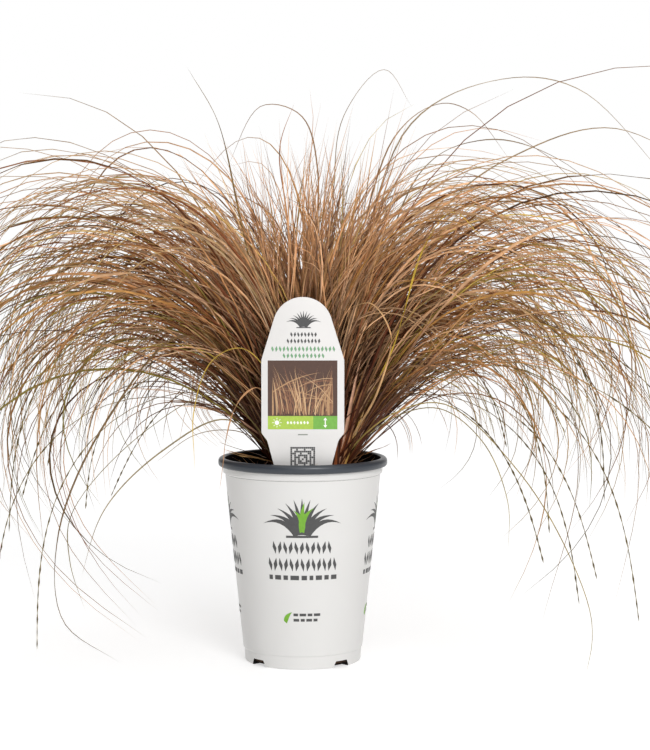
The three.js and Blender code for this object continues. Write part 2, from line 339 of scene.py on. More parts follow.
@dataclass(frozen=True)
class Finishes:
    """Every finish of the object."""

    # Formed polypropylene sheet, white outside: even and glossy, with soft window-like lights.
    pot_outside: Finish = MouldedPlastic("polypropylene_sheet_white", "d8d7d5", 0.32, 1.49)
    # The same sheet's dark side, rolled outwards at the rim: satin blue-grey.
    pot_rim: Finish = MouldedPlastic("polypropylene_rim_slate", "363b42", 0.36, 1.49)
    # The same dark side inside the pot, dulled by damp mix, and painted nearly black as shade:
    # darker than the sheet at the rim.
    pot_inside_shade: Finish = MouldedPlastic("polypropylene_inside_painted_shade", "120f0e", 0.85, 1.2)
    # Polystyrene card, rolled: flat white with hardly any gloss.
    label: Finish = MouldedPlastic("polystyrene_card_white", "dad8d6", 0.5, 1.55)
    # Peat and composted bark: dull, dark and crumbly.
    mix: Finish = Crumb("peat_and_bark", "1a110b", 0.95, 1.4, light="4a3221")
    # Pine bark chips: flaky, redder and lighter than the peat.
    bark: Finish = Crumb("pine_bark_chip", "3a2415", 0.85, 1.45, light="8a5c38", grain=5.0)
    # Living sedge leaf: satin, so it catches thin lights along its length.
    leaf: Finish = LeafSkin("sedge_leaf_satin", "8a6244", 0.58, 1.3)
    # Leaf sheaths low in the clump: smoother and redder than the blades.
    sheath: Finish = LeafSkin("sedge_sheath_smooth", "6b3f26", 0.38, 1.45, mottle=4.0)
    # Fallen blades: dry and dull, bleached towards tan.
    litter: Finish = LeafSkin("sedge_litter_dry", "8a6244", 0.75, 1.4, mottle=3.0)
    # Screen inks: dull enough to read flat on the gloss of the plastic.
    charcoal: Finish = PrintInk("screen_ink_charcoal", "474747", 0.5)
    leaf_green: Finish = PrintInk("screen_ink_leaf_green", "6fa52b", 0.5)
    title_green: Finish = PrintInk("screen_ink_title_green", "6e9c74", 0.5)
    lime: Finish = PrintInk("screen_ink_lime", "a5c24a", 0.5)
    grass_green: Finish = PrintInk("screen_ink_grass_green", "71ab45", 0.5)
    white_ink: Finish = PrintInk("screen_ink_white", "f2f3ea", 0.5)
    brown_dark: Finish = PrintInk("screen_ink_dark_brown", "4e352a", 0.5)
    brown_mid: Finish = PrintInk("screen_ink_mid_brown", "83593f", 0.5)
    tan: Finish = PrintInk("screen_ink_tan", "b08a63", 0.5)
    sand: Finish = PrintInk("screen_ink_sand", "c9a47c", 0.5)
    grey: Finish = PrintInk("screen_ink_grey", "8c9188", 0.5)


FINISH = Finishes()


# ---------------- pieces


def mesh_of(bm: BMesh, name: str, scale: float = MM) -> Mesh:
    """Makes a bmesh into a mesh, and frees the bmesh.

    Args:
        bm: The shape, with the number of its finish on each face.
        name: The mesh's name.
        scale: What its measures are multiplied by: from millimetres to metres, unless told.

    Returns:
        The mesh.
    """
    if scale != 1:
        bmesh.ops.scale(bm, vec=(scale, scale, scale), verts=bm.verts)
    mesh = bpy.data.meshes.new(name)
    bm.to_mesh(mesh)
    bm.free()
    return mesh


def placed(data: bpy.types.ID) -> Object:
    """Puts a mesh, a light or a camera in the scene.

    Args:
        data: The mesh, light or camera.

    Returns:
        Its object, which has its name and sits at the origin.
    """
    made = bpy.data.objects.new(data.name, data)
    bpy.context.collection.objects.link(made)
    return made


def finish_piece(
    mesh: Mesh,
    finishes: Sequence[Finish],
    replaces: Iterable[str] = (),
    crease: float = 35.0,
) -> Object:
    """Makes a mesh into a piece that rides on the object's one body.

    Args:
        mesh: The piece's mesh, which it takes its name from.
        finishes: Its finishes, in the order of their numbers.
        replaces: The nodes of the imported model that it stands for.
        crease: The angle in degrees from which an edge is a sharp one.

    Returns:
        The piece.
    """
    for finish in finishes:
        mesh.materials.append(finish.material())
    mesh.shade_smooth()
    mesh.set_sharp_from_angle(angle=math.radians(crease))
    piece = placed(mesh)
    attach(piece, BODY)
    if replaces:
        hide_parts(*replaces)
    LOG.info("%s: %d faces", mesh.name, len(mesh.polygons))
    return piece


def wire(bm: BMesh, points: Iterable[Pair]) -> list[BMVert]:
    """Lays an open line of edges in the XZ plane.

    Args:
        bm: The bmesh that it goes into.
        points: Its corners, as (x, z).

    Returns:
        Its vertices in order.
    """
    verts = [bm.verts.new((x, 0, z)) for x, z in points]
    for a, b in zip(verts, verts[1:]):
        bm.edges.new((a, b))
    return verts


def round_off(bm: BMesh, parts: list, rounding: Round, kind: str = "VERTICES") -> None:
    """Rounds the corners of a flat outline, or the edges of a solid.

    Args:
        bm: The bmesh that they are in.
        parts: The corners or edges.
        rounding: Their radius, and how many stretches each round has.
        kind: "VERTICES" for corners and "EDGES" for edges.
    """
    radius, steps = rounding
    bmesh.ops.bevel(
        bm, geom=parts, offset=radius, segments=steps, profile=0.5, affect=kind, material=-1
    )


def turn(bm: BMesh, steps: int) -> None:
    """Turns the lines of a bmesh once round Z into a closed surface that faces outwards.

    Args:
        bm: The bmesh with a profile in the XZ plane, which starts and ends on the axis.
        steps: How many steps the turn has.
    """
    bmesh.ops.spin(
        bm,
        geom=bm.verts[:] + bm.edges[:],
        cent=(0, 0, 0),
        axis=(0, 0, 1),
        angle=2 * math.pi,
        steps=steps,
        use_merge=True,
    )
    bmesh.ops.remove_doubles(bm, verts=bm.verts, dist=1e-3)
    bmesh.ops.recalc_face_normals(bm, faces=bm.faces)


# ---------------- strands


@dataclass(frozen=True)
class StrandForm:
    """A closed prism along +Z with a point at its end, which every strand is shaped from."""

    mesh: Mesh
    section: Array  # for each vertex, its place in the section
    ring: Array  # for each vertex, the number of its ring
    loop_side: Array  # for each face corner, how far round the section it is, 0 to 1
    loop_ring: Array  # for each face corner, the number of its ring


@lru_cache(maxsize=None)
def strand_form(sides: int, rings: int) -> StrandForm:
    """Makes the prism that a strand is shaped from.

    Args:
        sides: How many sides its section has.
        rings: How many stretches it has from root to tip.

    Returns:
        The prism.
    """
    bm = bmesh.new()
    bmesh.ops.create_circle(bm, cap_ends=True, segments=sides, radius=1.0)
    spun = bmesh.ops.spin(
        bm,
        geom=bm.edges[:],
        cent=(0, 0, 0),
        axis=(0, 0, 1),
        dvec=(0, 0, 1),
        angle=0,
        steps=rings,
    )
    end = [v for v in spun["geom_last"] if isinstance(v, BMVert)]
    bmesh.ops.pointmerge(bm, verts=end, merge_co=(0, 0, rings))
    bmesh.ops.recalc_face_normals(bm, faces=bm.faces)
    mesh = mesh_of(bm, f"strand_{sides}_{rings}", 1)
    co = np.zeros(len(mesh.vertices) * 3)
    mesh.vertices.foreach_get("co", co)
    co = co.reshape(-1, 3)
    corner = np.zeros(len(mesh.loops), int)
    mesh.loops.foreach_get("vertex_index", corner)
    turned = np.arctan2(co[:, 1], co[:, 0]) / (2 * math.pi) % 1
    side = turned[corner]
    for face in mesh.polygons:
        loops = list(face.loop_indices)
        at_tip = [i for i in loops if co[corner[i], 2] > rings - 0.5]
        rest = [i for i in loops if i not in at_tip]
        if len(rest) < len(loops) or len(loops) == 4:
            if side[rest].max() - side[rest].min() > 0.5:
                side[rest] = np.where(side[rest] < 0.5, side[rest] + 1, side[rest])
            side[at_tip] = side[rest].mean()
    ring = np.rint(co[:, 2]).astype(int)
    return StrandForm(mesh, co[:, :2].copy(), ring, side / 1.5, ring[corner])


@dataclass
class Strand:
    """A strand to be shaped: its rings' places, its section and colour there, and its finish."""

    sides: int
    points: Array
    across: Array
    over: Array
    half_widths: Array
    depths: Array
    tints: Array
    finish: int = 0


def strands_mesh(name: str, strands: Sequence[Strand]) -> Mesh:
    """Shapes strands into one mesh, with their colours and a strip of the UV map for each.

    Args:
        name: The mesh's name.
        strands: The strands, in millimetres.

    Returns:
        The mesh, in metres.
    """
    bm = bmesh.new()
    forms = [strand_form(s.sides, len(s.points) - 1) for s in strands]
    for form in forms:
        bm.from_mesh(form.mesh)
    mesh = mesh_of(bm, name, 1)
    places, tints, charts, finishes = [], [], [], []
    for i, (form, strand) in enumerate(zip(forms, strands)):
        ring = form.ring
        side = form.section[:, :1] * strand.half_widths[ring, None]
        rise = -form.section[:, 1:] * strand.depths[ring, None]
        places.append(strand.points[ring] + strand.across[ring] * side + strand.over[ring] * rise)
        tints.append(strand.tints[ring])
        share = form.loop_ring / (len(strand.points) - 1)
        u = (i + 0.1 + 0.8 * form.loop_side) / len(strands)
        charts.append(np.stack([u, 0.01 + 0.98 * share], axis=1))
        finishes.append(np.full(len(form.mesh.polygons), strand.finish))
    mesh.vertices.foreach_set("co", (np.concatenate(places) * MM).ravel())
    mesh.attributes.new(TINT, "FLOAT_COLOR", "POINT")
    mesh.attributes[TINT].data.foreach_set("color", np.concatenate(tints).ravel())
    mesh.uv_layers.new(name=BAKE_MAP)
    mesh.uv_layers[BAKE_MAP].data.foreach_set("uv", np.concatenate(charts).ravel())
    mesh.polygons.foreach_set("material_index", np.concatenate(finishes))
    mesh.update()
    return mesh


# ---------------- pot


@dataclass
class Pot:
    """A tapered pot, formed from sheet that is white outside and slate inside."""

    height: float = 138.0
    rim_radius: float = 57.0
    rim_depth: float = 6.0
    collar_radius: float = 53.8
    collar_depth: float = 5.0
    wall_top_radius: float = 52.4
    wall_foot_radius: float = 40.4
    foot_radius: float = 39.2
    foot_height: float = 9.5
    step: float = 0.8
    foot_round: Round = (1.3, 4)
    step_round: Round = (0.35, 2)
    rim_under_round: Round = (1.8, 5)
    rim_top_round: Round = (2.7, 7)
    rim_inside_round: Round = (1.6, 4)
    wall: float = 1.2
    floor: float = 2.2
    turns: int = 128
    drain_count: int = 4
    drain_turn: float = 41.5
    drain_foot_width: float = 15.0
    drain_top_width: float = 9.5
    drain_height: float = 4.5
    drain_inner_radius: float = 32.0

    @property
    def rim_foot(self) -> float:
        """The height of the rim's lower edge."""
        return self.height - self.rim_depth

    @property
    def collar_foot(self) -> float:
        """The height of the collar's lower edge."""
        return self.rim_foot - self.collar_depth

    def wall_radius(self, height: float) -> float:
        """The outer radius of the tapered wall at a height."""
        share = (height - self.foot_height) / (self.collar_foot - self.foot_height)
        return lerp((self.wall_foot_radius, self.wall_top_radius), share)

    def inner_radius(self, height: float) -> float:
        """The inner radius of the tapered wall at a height."""
        return self.wall_radius(height) - self.wall

    def profile(self, bm: BMesh) -> None:
        """Draws half of the pot's section, from the axis underneath to the axis inside.

        Args:
            bm: The bmesh that it goes into.
        """
        groove = self.foot_height
        outline = [
            (0, 0),
            (self.foot_radius, 0),
            (self.wall_foot_radius - self.step, groove - self.step),
            (self.wall_foot_radius, groove),
            (self.wall_top_radius, self.collar_foot),
            (self.collar_radius, self.collar_foot + self.step),
            (self.collar_radius, self.rim_foot),
            (self.rim_radius, self.rim_foot),
            (self.rim_radius, self.height),
            (self.collar_radius - self.wall, self.height),
            (self.collar_radius - self.wall, self.collar_foot),
            (self.inner_radius(self.collar_foot), self.collar_foot - self.step),
            (self.inner_radius(groove), groove),
            (self.foot_radius - self.wall, self.floor),
            (0, self.floor),
        ]
        verts = wire(bm, outline)
        foot, groove_in, groove_out, collar, collar_out = verts[1:6]
        rim_under, rim_top, rim_inside = verts[7:10]
        round_off(bm, [foot], self.foot_round)
        round_off(bm, [groove_in, groove_out, collar, collar_out], self.step_round)
        round_off(bm, [rim_under], self.rim_under_round)
        round_off(bm, [rim_top], self.rim_top_round)
        round_off(bm, [rim_inside], self.rim_inside_round)

    def notch_cutter(self) -> Object:
        """One object with the four blocks that the drain notches are cut with.

        Returns:
            The cutter, which the caller removes.
        """
        bm = bmesh.new()
        reach = self.rim_radius - self.drain_inner_radius
        for i in range(self.drain_count):
            made = bmesh.ops.create_cube(bm, size=1.0)["verts"]
            for vert in made:
                top = vert.co.z > 0
                width = self.drain_top_width if top else self.drain_foot_width
                vert.co.x *= width
                vert.co.y = self.drain_inner_radius + (vert.co.y + 0.5) * reach
                vert.co.z = self.drain_height if top else -1.0
            heading = math.radians(self.drain_turn + i * 360 / self.drain_count - 90)
            turned = Matrix.Rotation(heading, 3, "Z")
            bmesh.ops.rotate(bm, verts=made, cent=(0, 0, 0), matrix=turned)
        for face in bm.faces:
            face.material_index = 2
        return placed(mesh_of(bm, "notch_cutter"))

    def side_of(self, face: bmesh.types.BMFace) -> int:
        """Tells which side of the sheet a face is.

        Args:
            face: A face of the pot, in millimetres.

        Returns:
            0 for the white outside, 1 for the rolled rim and 2 for the inside.
        """
        middle = face.calc_center_median()
        if middle.z > self.rim_foot - TOUCH:
            past_edge = math.hypot(middle.x, middle.y) > self.collar_radius - self.wall + TOUCH
            return 1 if past_edge else 2
        faces_out = face.normal.x * middle.x + face.normal.y * middle.y > TOUCH
        return 0 if faces_out or middle.z < self.floor / 2 else 2

    def build(self) -> Object:
        """Builds the pot with its rolled rim and drain notches.

        Returns:
            The pot.
        """
        bm = bmesh.new()
        self.profile(bm)
        turn(bm, self.turns)
        bm.normal_update()
        for face in bm.faces:
            face.material_index = self.side_of(face)
        # The inside's finish is painted nearly black as shade.
        sides = [FINISH.pot_outside, FINISH.pot_rim, FINISH.pot_inside_shade]
        pot = finish_piece(mesh_of(bm, "nursery_pot"), sides, ["pot"])
        cutter = self.notch_cutter()
        cut = pot.modifiers.new("notches", "BOOLEAN")
        cut.operation = "DIFFERENCE"
        cut.solver = "EXACT"
        cut.object = cutter
        depsgraph = bpy.context.evaluated_depsgraph_get()
        notched = bpy.data.meshes.new_from_object(pot.evaluated_get(depsgraph))
        pot.modifiers.clear()
        pot.data = notched
        bpy.data.objects.remove(cutter)
        return pot


# ---------------- potting mix


@dataclass
class PottingMix:
    """The mix that fills the pot, with bark chips and fallen blades on it."""

    pot: Pot
    level: float = 123.0
    mound: float = 1.5
    clearance: float = 0.3
    seed: int = 11
    chip_count: int = 230
    chip_size: Pair = (1.6, 4.4)
    litter_count: int = 90
    litter_length: Pair = (8.0, 30.0)
    litter_half_width: Pair = (0.25, 0.75)
    litter_rings: int = 6
    leaning_count: int = 46  # old blades that lean from the mix to the wall
    leaning_foot: Pair = (22.0, 38.0)
    leaning_rise: Pair = (6.0, 18.0)
    crumb: float = 5.0  # the size of the surface's lumps
    crumb_height: float = 0.96
    top_rings: int = 34
    edge_drop: float = 1.5  # how far the wall of the mix ends below its top
    margin: float = 1.5  # how far what lies on it keeps from the wall
    litter_bow: float = 0.08  # as a share of the length
    litter_lift: Pair = (0.9, 1.7)

    def surface(self, x: float, y: float) -> float:
        """The height of the mix at a place.

        Args:
            x: The place across.
            y: The place from front to back.

        Returns:
            The height.
        """
        away = min(1.0, math.hypot(x, y) / self.pot.inner_radius(self.level))
        lumps = noise.fractal(Vector((x, y, self.seed)) / self.crumb, 0.8, 2.1, 3)
        return self.level + self.mound * (1 - away * away) + self.crumb_height * (lumps - 0.2)

    def fill(self) -> Object:
        """Builds the body of the mix with its crumbly top.

        Returns:
            The mix.
        """
        bottom = self.pot.floor + self.clearance
        edge = self.pot.inner_radius(self.level) - self.clearance
        inner = self.pot.inner_radius(self.pot.foot_height) - self.clearance
        rings = self.top_rings
        bm = bmesh.new()
        wire(
            bm,
            [
                (0, bottom),
                (self.pot.foot_radius - self.pot.wall - 2 * self.clearance, bottom),
                (inner, self.pot.foot_height),
                (edge, self.level - self.edge_drop),
                *((edge * i / rings, self.level) for i in range(rings, -1, -1)),
            ],
        )
        turn(bm, self.pot.turns)
        for vert in bm.verts:
            if vert.co.z > self.level - TOUCH:
                vert.co.z = self.surface(vert.co.x, vert.co.y)
        mesh = mesh_of(bm, "potting_mix")
        return finish_piece(mesh, [FINISH.mix], ["soil"], crease=180)

    def chips(self) -> Object:
        """Strews bark chips over the mix.

        Returns:
            All the chips as one piece.
        """
        rng = np.random.default_rng(self.seed)
        bm = bmesh.new()
        for _ in range(self.chip_count):
            size = lerp(self.chip_size, rng.random() ** 2)
            room = self.pot.inner_radius(self.level) - 1.2 - size
            radius = room * math.sqrt(rng.random())
            angle = rng.random() * 2 * math.pi
            x, y = radius * math.cos(angle), radius * math.sin(angle)
            made = bmesh.ops.create_icosphere(bm, subdivisions=1, radius=size / 2)["verts"]
            for vert in made:
                vert.co *= 1 + 0.3 * (rng.random() - 0.5)
            stretch = Vector((1.5, 0.8 + 0.3 * rng.random(), 0.45 + 0.2 * rng.random()))
            bmesh.ops.scale(bm, vec=stretch, verts=made)
            tumble = Matrix.Rotation(rng.random() * 2 * math.pi, 3, "Z")
            tumble @= Matrix.Rotation(0.7 * (rng.random() - 0.5), 3, "X")
            bmesh.ops.rotate(bm, verts=made, cent=(0, 0, 0), matrix=tumble)
            lift = Vector((x, y, self.surface(x, y) + 0.2 * size))
            bmesh.ops.translate(bm, verts=made, vec=lift)
        return finish_piece(mesh_of(bm, "bark_chips"), [FINISH.bark], crease=20)

    def litter_strand(self, start: Vector, end: Vector, bow: float, rng: Rng) -> Strand:
        """Shapes one fallen blade.

        Args:
            start: Where it starts, in mm.
            end: Where it ends.
            bow: How far its middle stands off the straight line, sideways.
            rng: Where the draws come from.

        Returns:
            The strand.
        """
        t = np.linspace(0, 1, self.litter_rings + 1)[:, None]
        way = np.array(end - start)
        across = np.cross(way, (0, 0, 1)) / np.hypot(way[0], way[1])
        points = np.array(start) + way * t + across * bow * 4 * t * (1 - t)
        half_width = lerp(self.litter_half_width, rng.random() ** 2)
        taper = half_width * np.minimum(1, 0.4 + 3 * t[:, 0]) * (1 - t[:, 0] ** 3)
        rows = np.ones_like(t)
        over = np.cross(across, way / np.linalg.norm(way))
        tints = srgb(LITTER_TONES[rng.integers(len(LITTER_TONES))]) * rows
        return Strand(3, points, across * rows, over * rows, taper, taper * 0.6, tints)

    def litter(self) -> Object:
        """Strews fallen blades over the mix, and leans some against the wall.

        Returns:
            All the fallen blades as one piece.
        """
        rng = np.random.default_rng(self.seed + 1)
        room = self.pot.inner_radius(self.level) - self.margin
        strands = []
        for _ in range(self.litter_count):
            length = lerp(self.litter_length, rng.random())
            reach = math.sqrt(room * room - length * length / 4) - 0.1 * length
            radius, angle = reach * math.sqrt(rng.random()), rng.random() * 2 * math.pi
            middle = Vector((radius * math.cos(angle), radius * math.sin(angle), 0))
            turned = angle + math.pi / 2 + 0.7 * (rng.random() - 0.5)
            half = Vector((math.cos(turned), math.sin(turned), 0)) * length / 2
            start, end = middle - half, middle + half
            for point in (start, end):
                point.z = self.surface(point.x, point.y) + lerp(self.litter_lift, rng.random())
            strands.append(self.litter_strand(start, end, length * self.litter_bow, rng))
        for _ in range(self.leaning_count):
            angle = rng.random() * 2 * math.pi
            foot = lerp(self.leaning_foot, rng.random())
            across = angle + 1.6 * (rng.random() - 0.5)
            start = Vector((foot * math.cos(across), foot * math.sin(across), 0))
            start.z = self.surface(start.x, start.y) + 0.5
            end = Vector((room * math.cos(angle), room * math.sin(angle), 0))
            end.z = self.level + lerp(self.leaning_rise, rng.random())
            strands.append(self.litter_strand(start, end, 2.0 * (rng.random() - 0.5), rng))
        mesh = strands_mesh("fallen_blades", strands)
        return finish_piece(mesh, [FINISH.litter], crease=50)

    def build(self) -> list[Object]:
        """Builds the mix and what lies on it."""
        return [self.fill(), self.chips(), self.litter()]


# ---------------- printed motifs


@dataclass
class PrintSheet:
    """Thin printed shapes, drawn flat with x to the right and z up, then laid on a surface.

    A shape stands proud of the surface and is sunk a little into it, so no gap shows. Where
    shapes cross, each stands a hair's breadth over the last.
    """

    proud: float = 0.07
    sunk: float = 0.03
    step: float = 0.003  # how much a shape stands over the one before it, in a run of steps
    steps: int = 12
    dot_steps: int = 24
    bm: BMesh = field(default_factory=bmesh.new)
    drawn: int = 0

    def shape(self, outline: Iterable[Pair]) -> None:
        """Adds a flat shape, its outline given as (x, z) anticlockwise."""
        lift = -self.step * (self.drawn % self.steps)
        self.bm.faces.new([self.bm.verts.new((x, lift, z)) for x, z in outline])

    def bar(self, x: Pair, z: Pair, pieces: int = 1) -> None:
        """Adds a rectangle.

        Args:
            x: Where it starts and ends across.
            z: Where it starts and ends upwards.
            pieces: In how many it is split across, so that it follows a round surface.
        """
        for i in range(pieces):
            left, right = lerp(x, i / pieces), lerp(x, (i + 1) / pieces)
            self.shape([(left, z[0]), (right, z[0]), (right, z[1]), (left, z[1])])

    def disc(self, x: float, z: float, radius: float) -> None:
        """Adds a round dot.

        Args:
            x: Its middle across.
            z: Its middle upwards.
            radius: Its radius.
        """
        turns = [2 * math.pi * i / self.dot_steps for i in range(self.dot_steps)]
        self.shape([(x + radius * math.cos(a), z + radius * math.sin(a)) for a in turns])

    def blade(self, root: Pair, tip: Pair, sag: float, width: float, steps: int = 8) -> None:
        """Adds an arching blade that is drawn out to a point.

        Args:
            root: Where it starts.
            tip: Where it ends.
            sag: How far its middle stands off the straight line, to the left of its way.
            width: Its width at the root.
            steps: How many stretches it has.
        """
        run, rise = tip[0] - root[0], tip[1] - root[1]
        length = math.hypot(run, rise)
        left = (-rise / length, run / length)
        self.drawn += 1
        sides: tuple[list[Pair], list[Pair]] = ([], [])
        for i in range(steps + 1):
            t = i / steps
            arch = 4 * sag * t * (1 - t)
            half = width / 2 * (1 - t) ** 0.7 * (0.6 + 1.6 * t * (1 - t))
            for side, sign in zip(sides, (1, -1)):
                off = arch + sign * half
                side.append((root[0] + run * t + left[0] * off, root[1] + rise * t + left[1] * off))
        for i in range(steps - 1):
            corners = [sides[1][i], sides[1][i + 1], sides[0][i + 1], sides[0][i]]
            self.shape(corners)
        self.shape([sides[1][steps - 1], sides[1][steps], sides[0][steps - 1]])

    def lay(
        self, place: Callable[[Vector], Vector], name: str, slot: Slot, finish: Finish
    ) -> Object:
        """Gives the shapes their thickness and lays them on a surface.

        Args:
            place: Takes a point of the drawing, with -y out of the sheet, to its place.
            name: The piece's name.
            slot: Not used.
            finish: The ink.

        Returns:
            The print as one piece.
        """
        bm = self.bm
        bmesh.ops.remove_doubles(bm, verts=bm.verts, dist=1e-4)
        for face in bm.faces:
            face.normal_update()
            if face.normal.y > 0:
                face.normal_flip()
        grown = bmesh.ops.extrude_face_region(bm, geom=bm.faces[:], use_keep_orig=True)
        moved = [v for v in grown["geom"] if isinstance(v, BMVert)]
        for vert in set(bm.verts).difference(moved):
            vert.co.y = self.sunk
        bmesh.ops.translate(bm, verts=moved, vec=(0, -self.proud, 0))
        bmesh.ops.recalc_face_normals(bm, faces=bm.faces)
        for vert in bm.verts:
            vert.co = place(vert.co)
        return finish_piece(mesh_of(bm, name), [finish], crease=25)


def draw_tuft(sheet: PrintSheet, x: float, z: float, width: float, height: float) -> None:
    """Draws the emblem: a tuft of arching blades over a short ground line.

    Args:
        sheet: What it is drawn on.
        x: The middle of the tuft.
        z: The ground line's height.
        width: From the left tips to the right tips.
        height: From the ground line to the top.
    """
    blades = 11
    for i in range(blades):
        side = 2 * i / (blades - 1) - 1
        reach = (x + side * width / 2, z + height * (1 - 0.72 * abs(side) ** 1.8))
        root = (x + side * width * 0.09, z)
        sheet.blade(root, reach, side * height * 0.22, width * 0.085)
    sheet.bar((x - width * 0.2, x + width * 0.2), (z - height * 0.08, z - height * 0.02), 6)


def draw_chain(sheet: PrintSheet, x: Pair, z: Pair, count: int, lean: float = 0.0) -> None:
    """Draws a band of upright leaf shapes, side by side.

    Args:
        sheet: What it is drawn on.
        x: Where the band starts and ends.
        z: Its lower and upper edge.
        count: How many leaves it has.
        lean: How far each leaf's tip leans over, in mm, to alternate sides.
    """
    pitch = (x[1] - x[0]) / count
    for i in range(count):
        middle = x[0] + pitch * (i + 0.5)
        tilt = lean if i % 2 else -lean
        sheet.shape(
            [
                (middle - tilt / 2, z[0]),
                (middle + pitch * 0.36, lerp(z, 0.45)),
                (middle + tilt / 2, z[1]),
                (middle - pitch * 0.36, lerp(z, 0.55)),
            ]
        )


def draw_dashes(sheet: PrintSheet, x: Pair, z: Pair, lengths: Sequence[float]) -> None:
    """Draws a line of dashes.

    Args:
        sheet: What it is drawn on.
        x: Where the line starts and ends.
        z: Its lower and upper edge.
        lengths: How long the dashes are, one after the other, over and over, in mm.
    """
    start, i = x[0], 0
    while start < x[1] - 0.5:
        end = min(start + lengths[i % len(lengths)], x[1])
        sheet.bar((start, end), z)
        start, i = end + 0.5 * (z[1] - z[0]) + 0.3, i + 1


@dataclass
class PotPrint:
    """The marks printed round the pot, the same on each quarter."""

    pot: Pot
    quarters: int = 4
    width: float = 53.0
    tuft_foot: float = 91.5
    tuft_height: float = 24.5
    bands: tuple[Pair, Pair] = ((78.5, 87.0), (67.0, 75.8))
    line: Pair = (61.2, 64.2)
    low_mark: float = 36.0

    def on_wall(self, heading: float, point: Vector) -> Vector:
        """Takes a point of a drawing to the pot's wall.

        Args:
            heading: Where the drawing's middle faces, in radians from -Y.
            point: The point.

        Returns:
            Its place.
        """
        angle = heading + point.x / self.pot.wall_radius(self.tuft_foot)
        radius = self.pot.wall_radius(point.z) - point.y
        return Vector((radius * math.sin(angle), -radius * math.cos(angle), point.z))

    def build(self) -> list[Object]:
        """Prints each quarter of the pot.

        Returns:
            The prints, one piece for each ink.
        """
        pieces = []
        for i in range(self.quarters):
            dark = PrintSheet()
            draw_tuft(dark, 0, self.tuft_foot, self.width, self.tuft_height)
            draw_chain(dark, (-20.8, 20.6), self.bands[0], 11, 1.4)
            draw_chain(dark, (-24.4, 25.0), self.bands[1], 13, 1.4)
            draw_dashes(dark, (-23.8, 25.0), self.line, (2.6, 4.4, 3.2, 6.0, 3.8))
            draw_dashes(dark, (-6.5, 14.5), (self.low_mark + 0.8, self.low_mark + 2.6), (3.4, 4.8))
            draw_dashes(dark, (-6.5, 13.0), (self.low_mark - 2.8, self.low_mark - 1.0), (4.2, 3.0))
            green = PrintSheet(proud=0.12)
            for tip, sag in (((7.5, 109.5), 2.6), ((-5.5, 108.0), -2.4), ((1.5, 113.5), 0.8)):
                green.blade((0, self.tuft_foot + 2.0), tip, sag, 5.2)
            green.blade((-12.8, self.low_mark - 3.4), (-7.6, self.low_mark + 3.4), 1.0, 4.6)
            place = partial(self.on_wall, i * 2 * math.pi / self.quarters)
            for sheet, shade, ink in (
                (dark, "dark", FINISH.charcoal),
                (green, "green", FINISH.leaf_green),
            ):
                pieces.append(sheet.lay(place, f"pot_print_{shade}_{i + 1}", Slot.POT, ink))
        return pieces


# ---------------- label


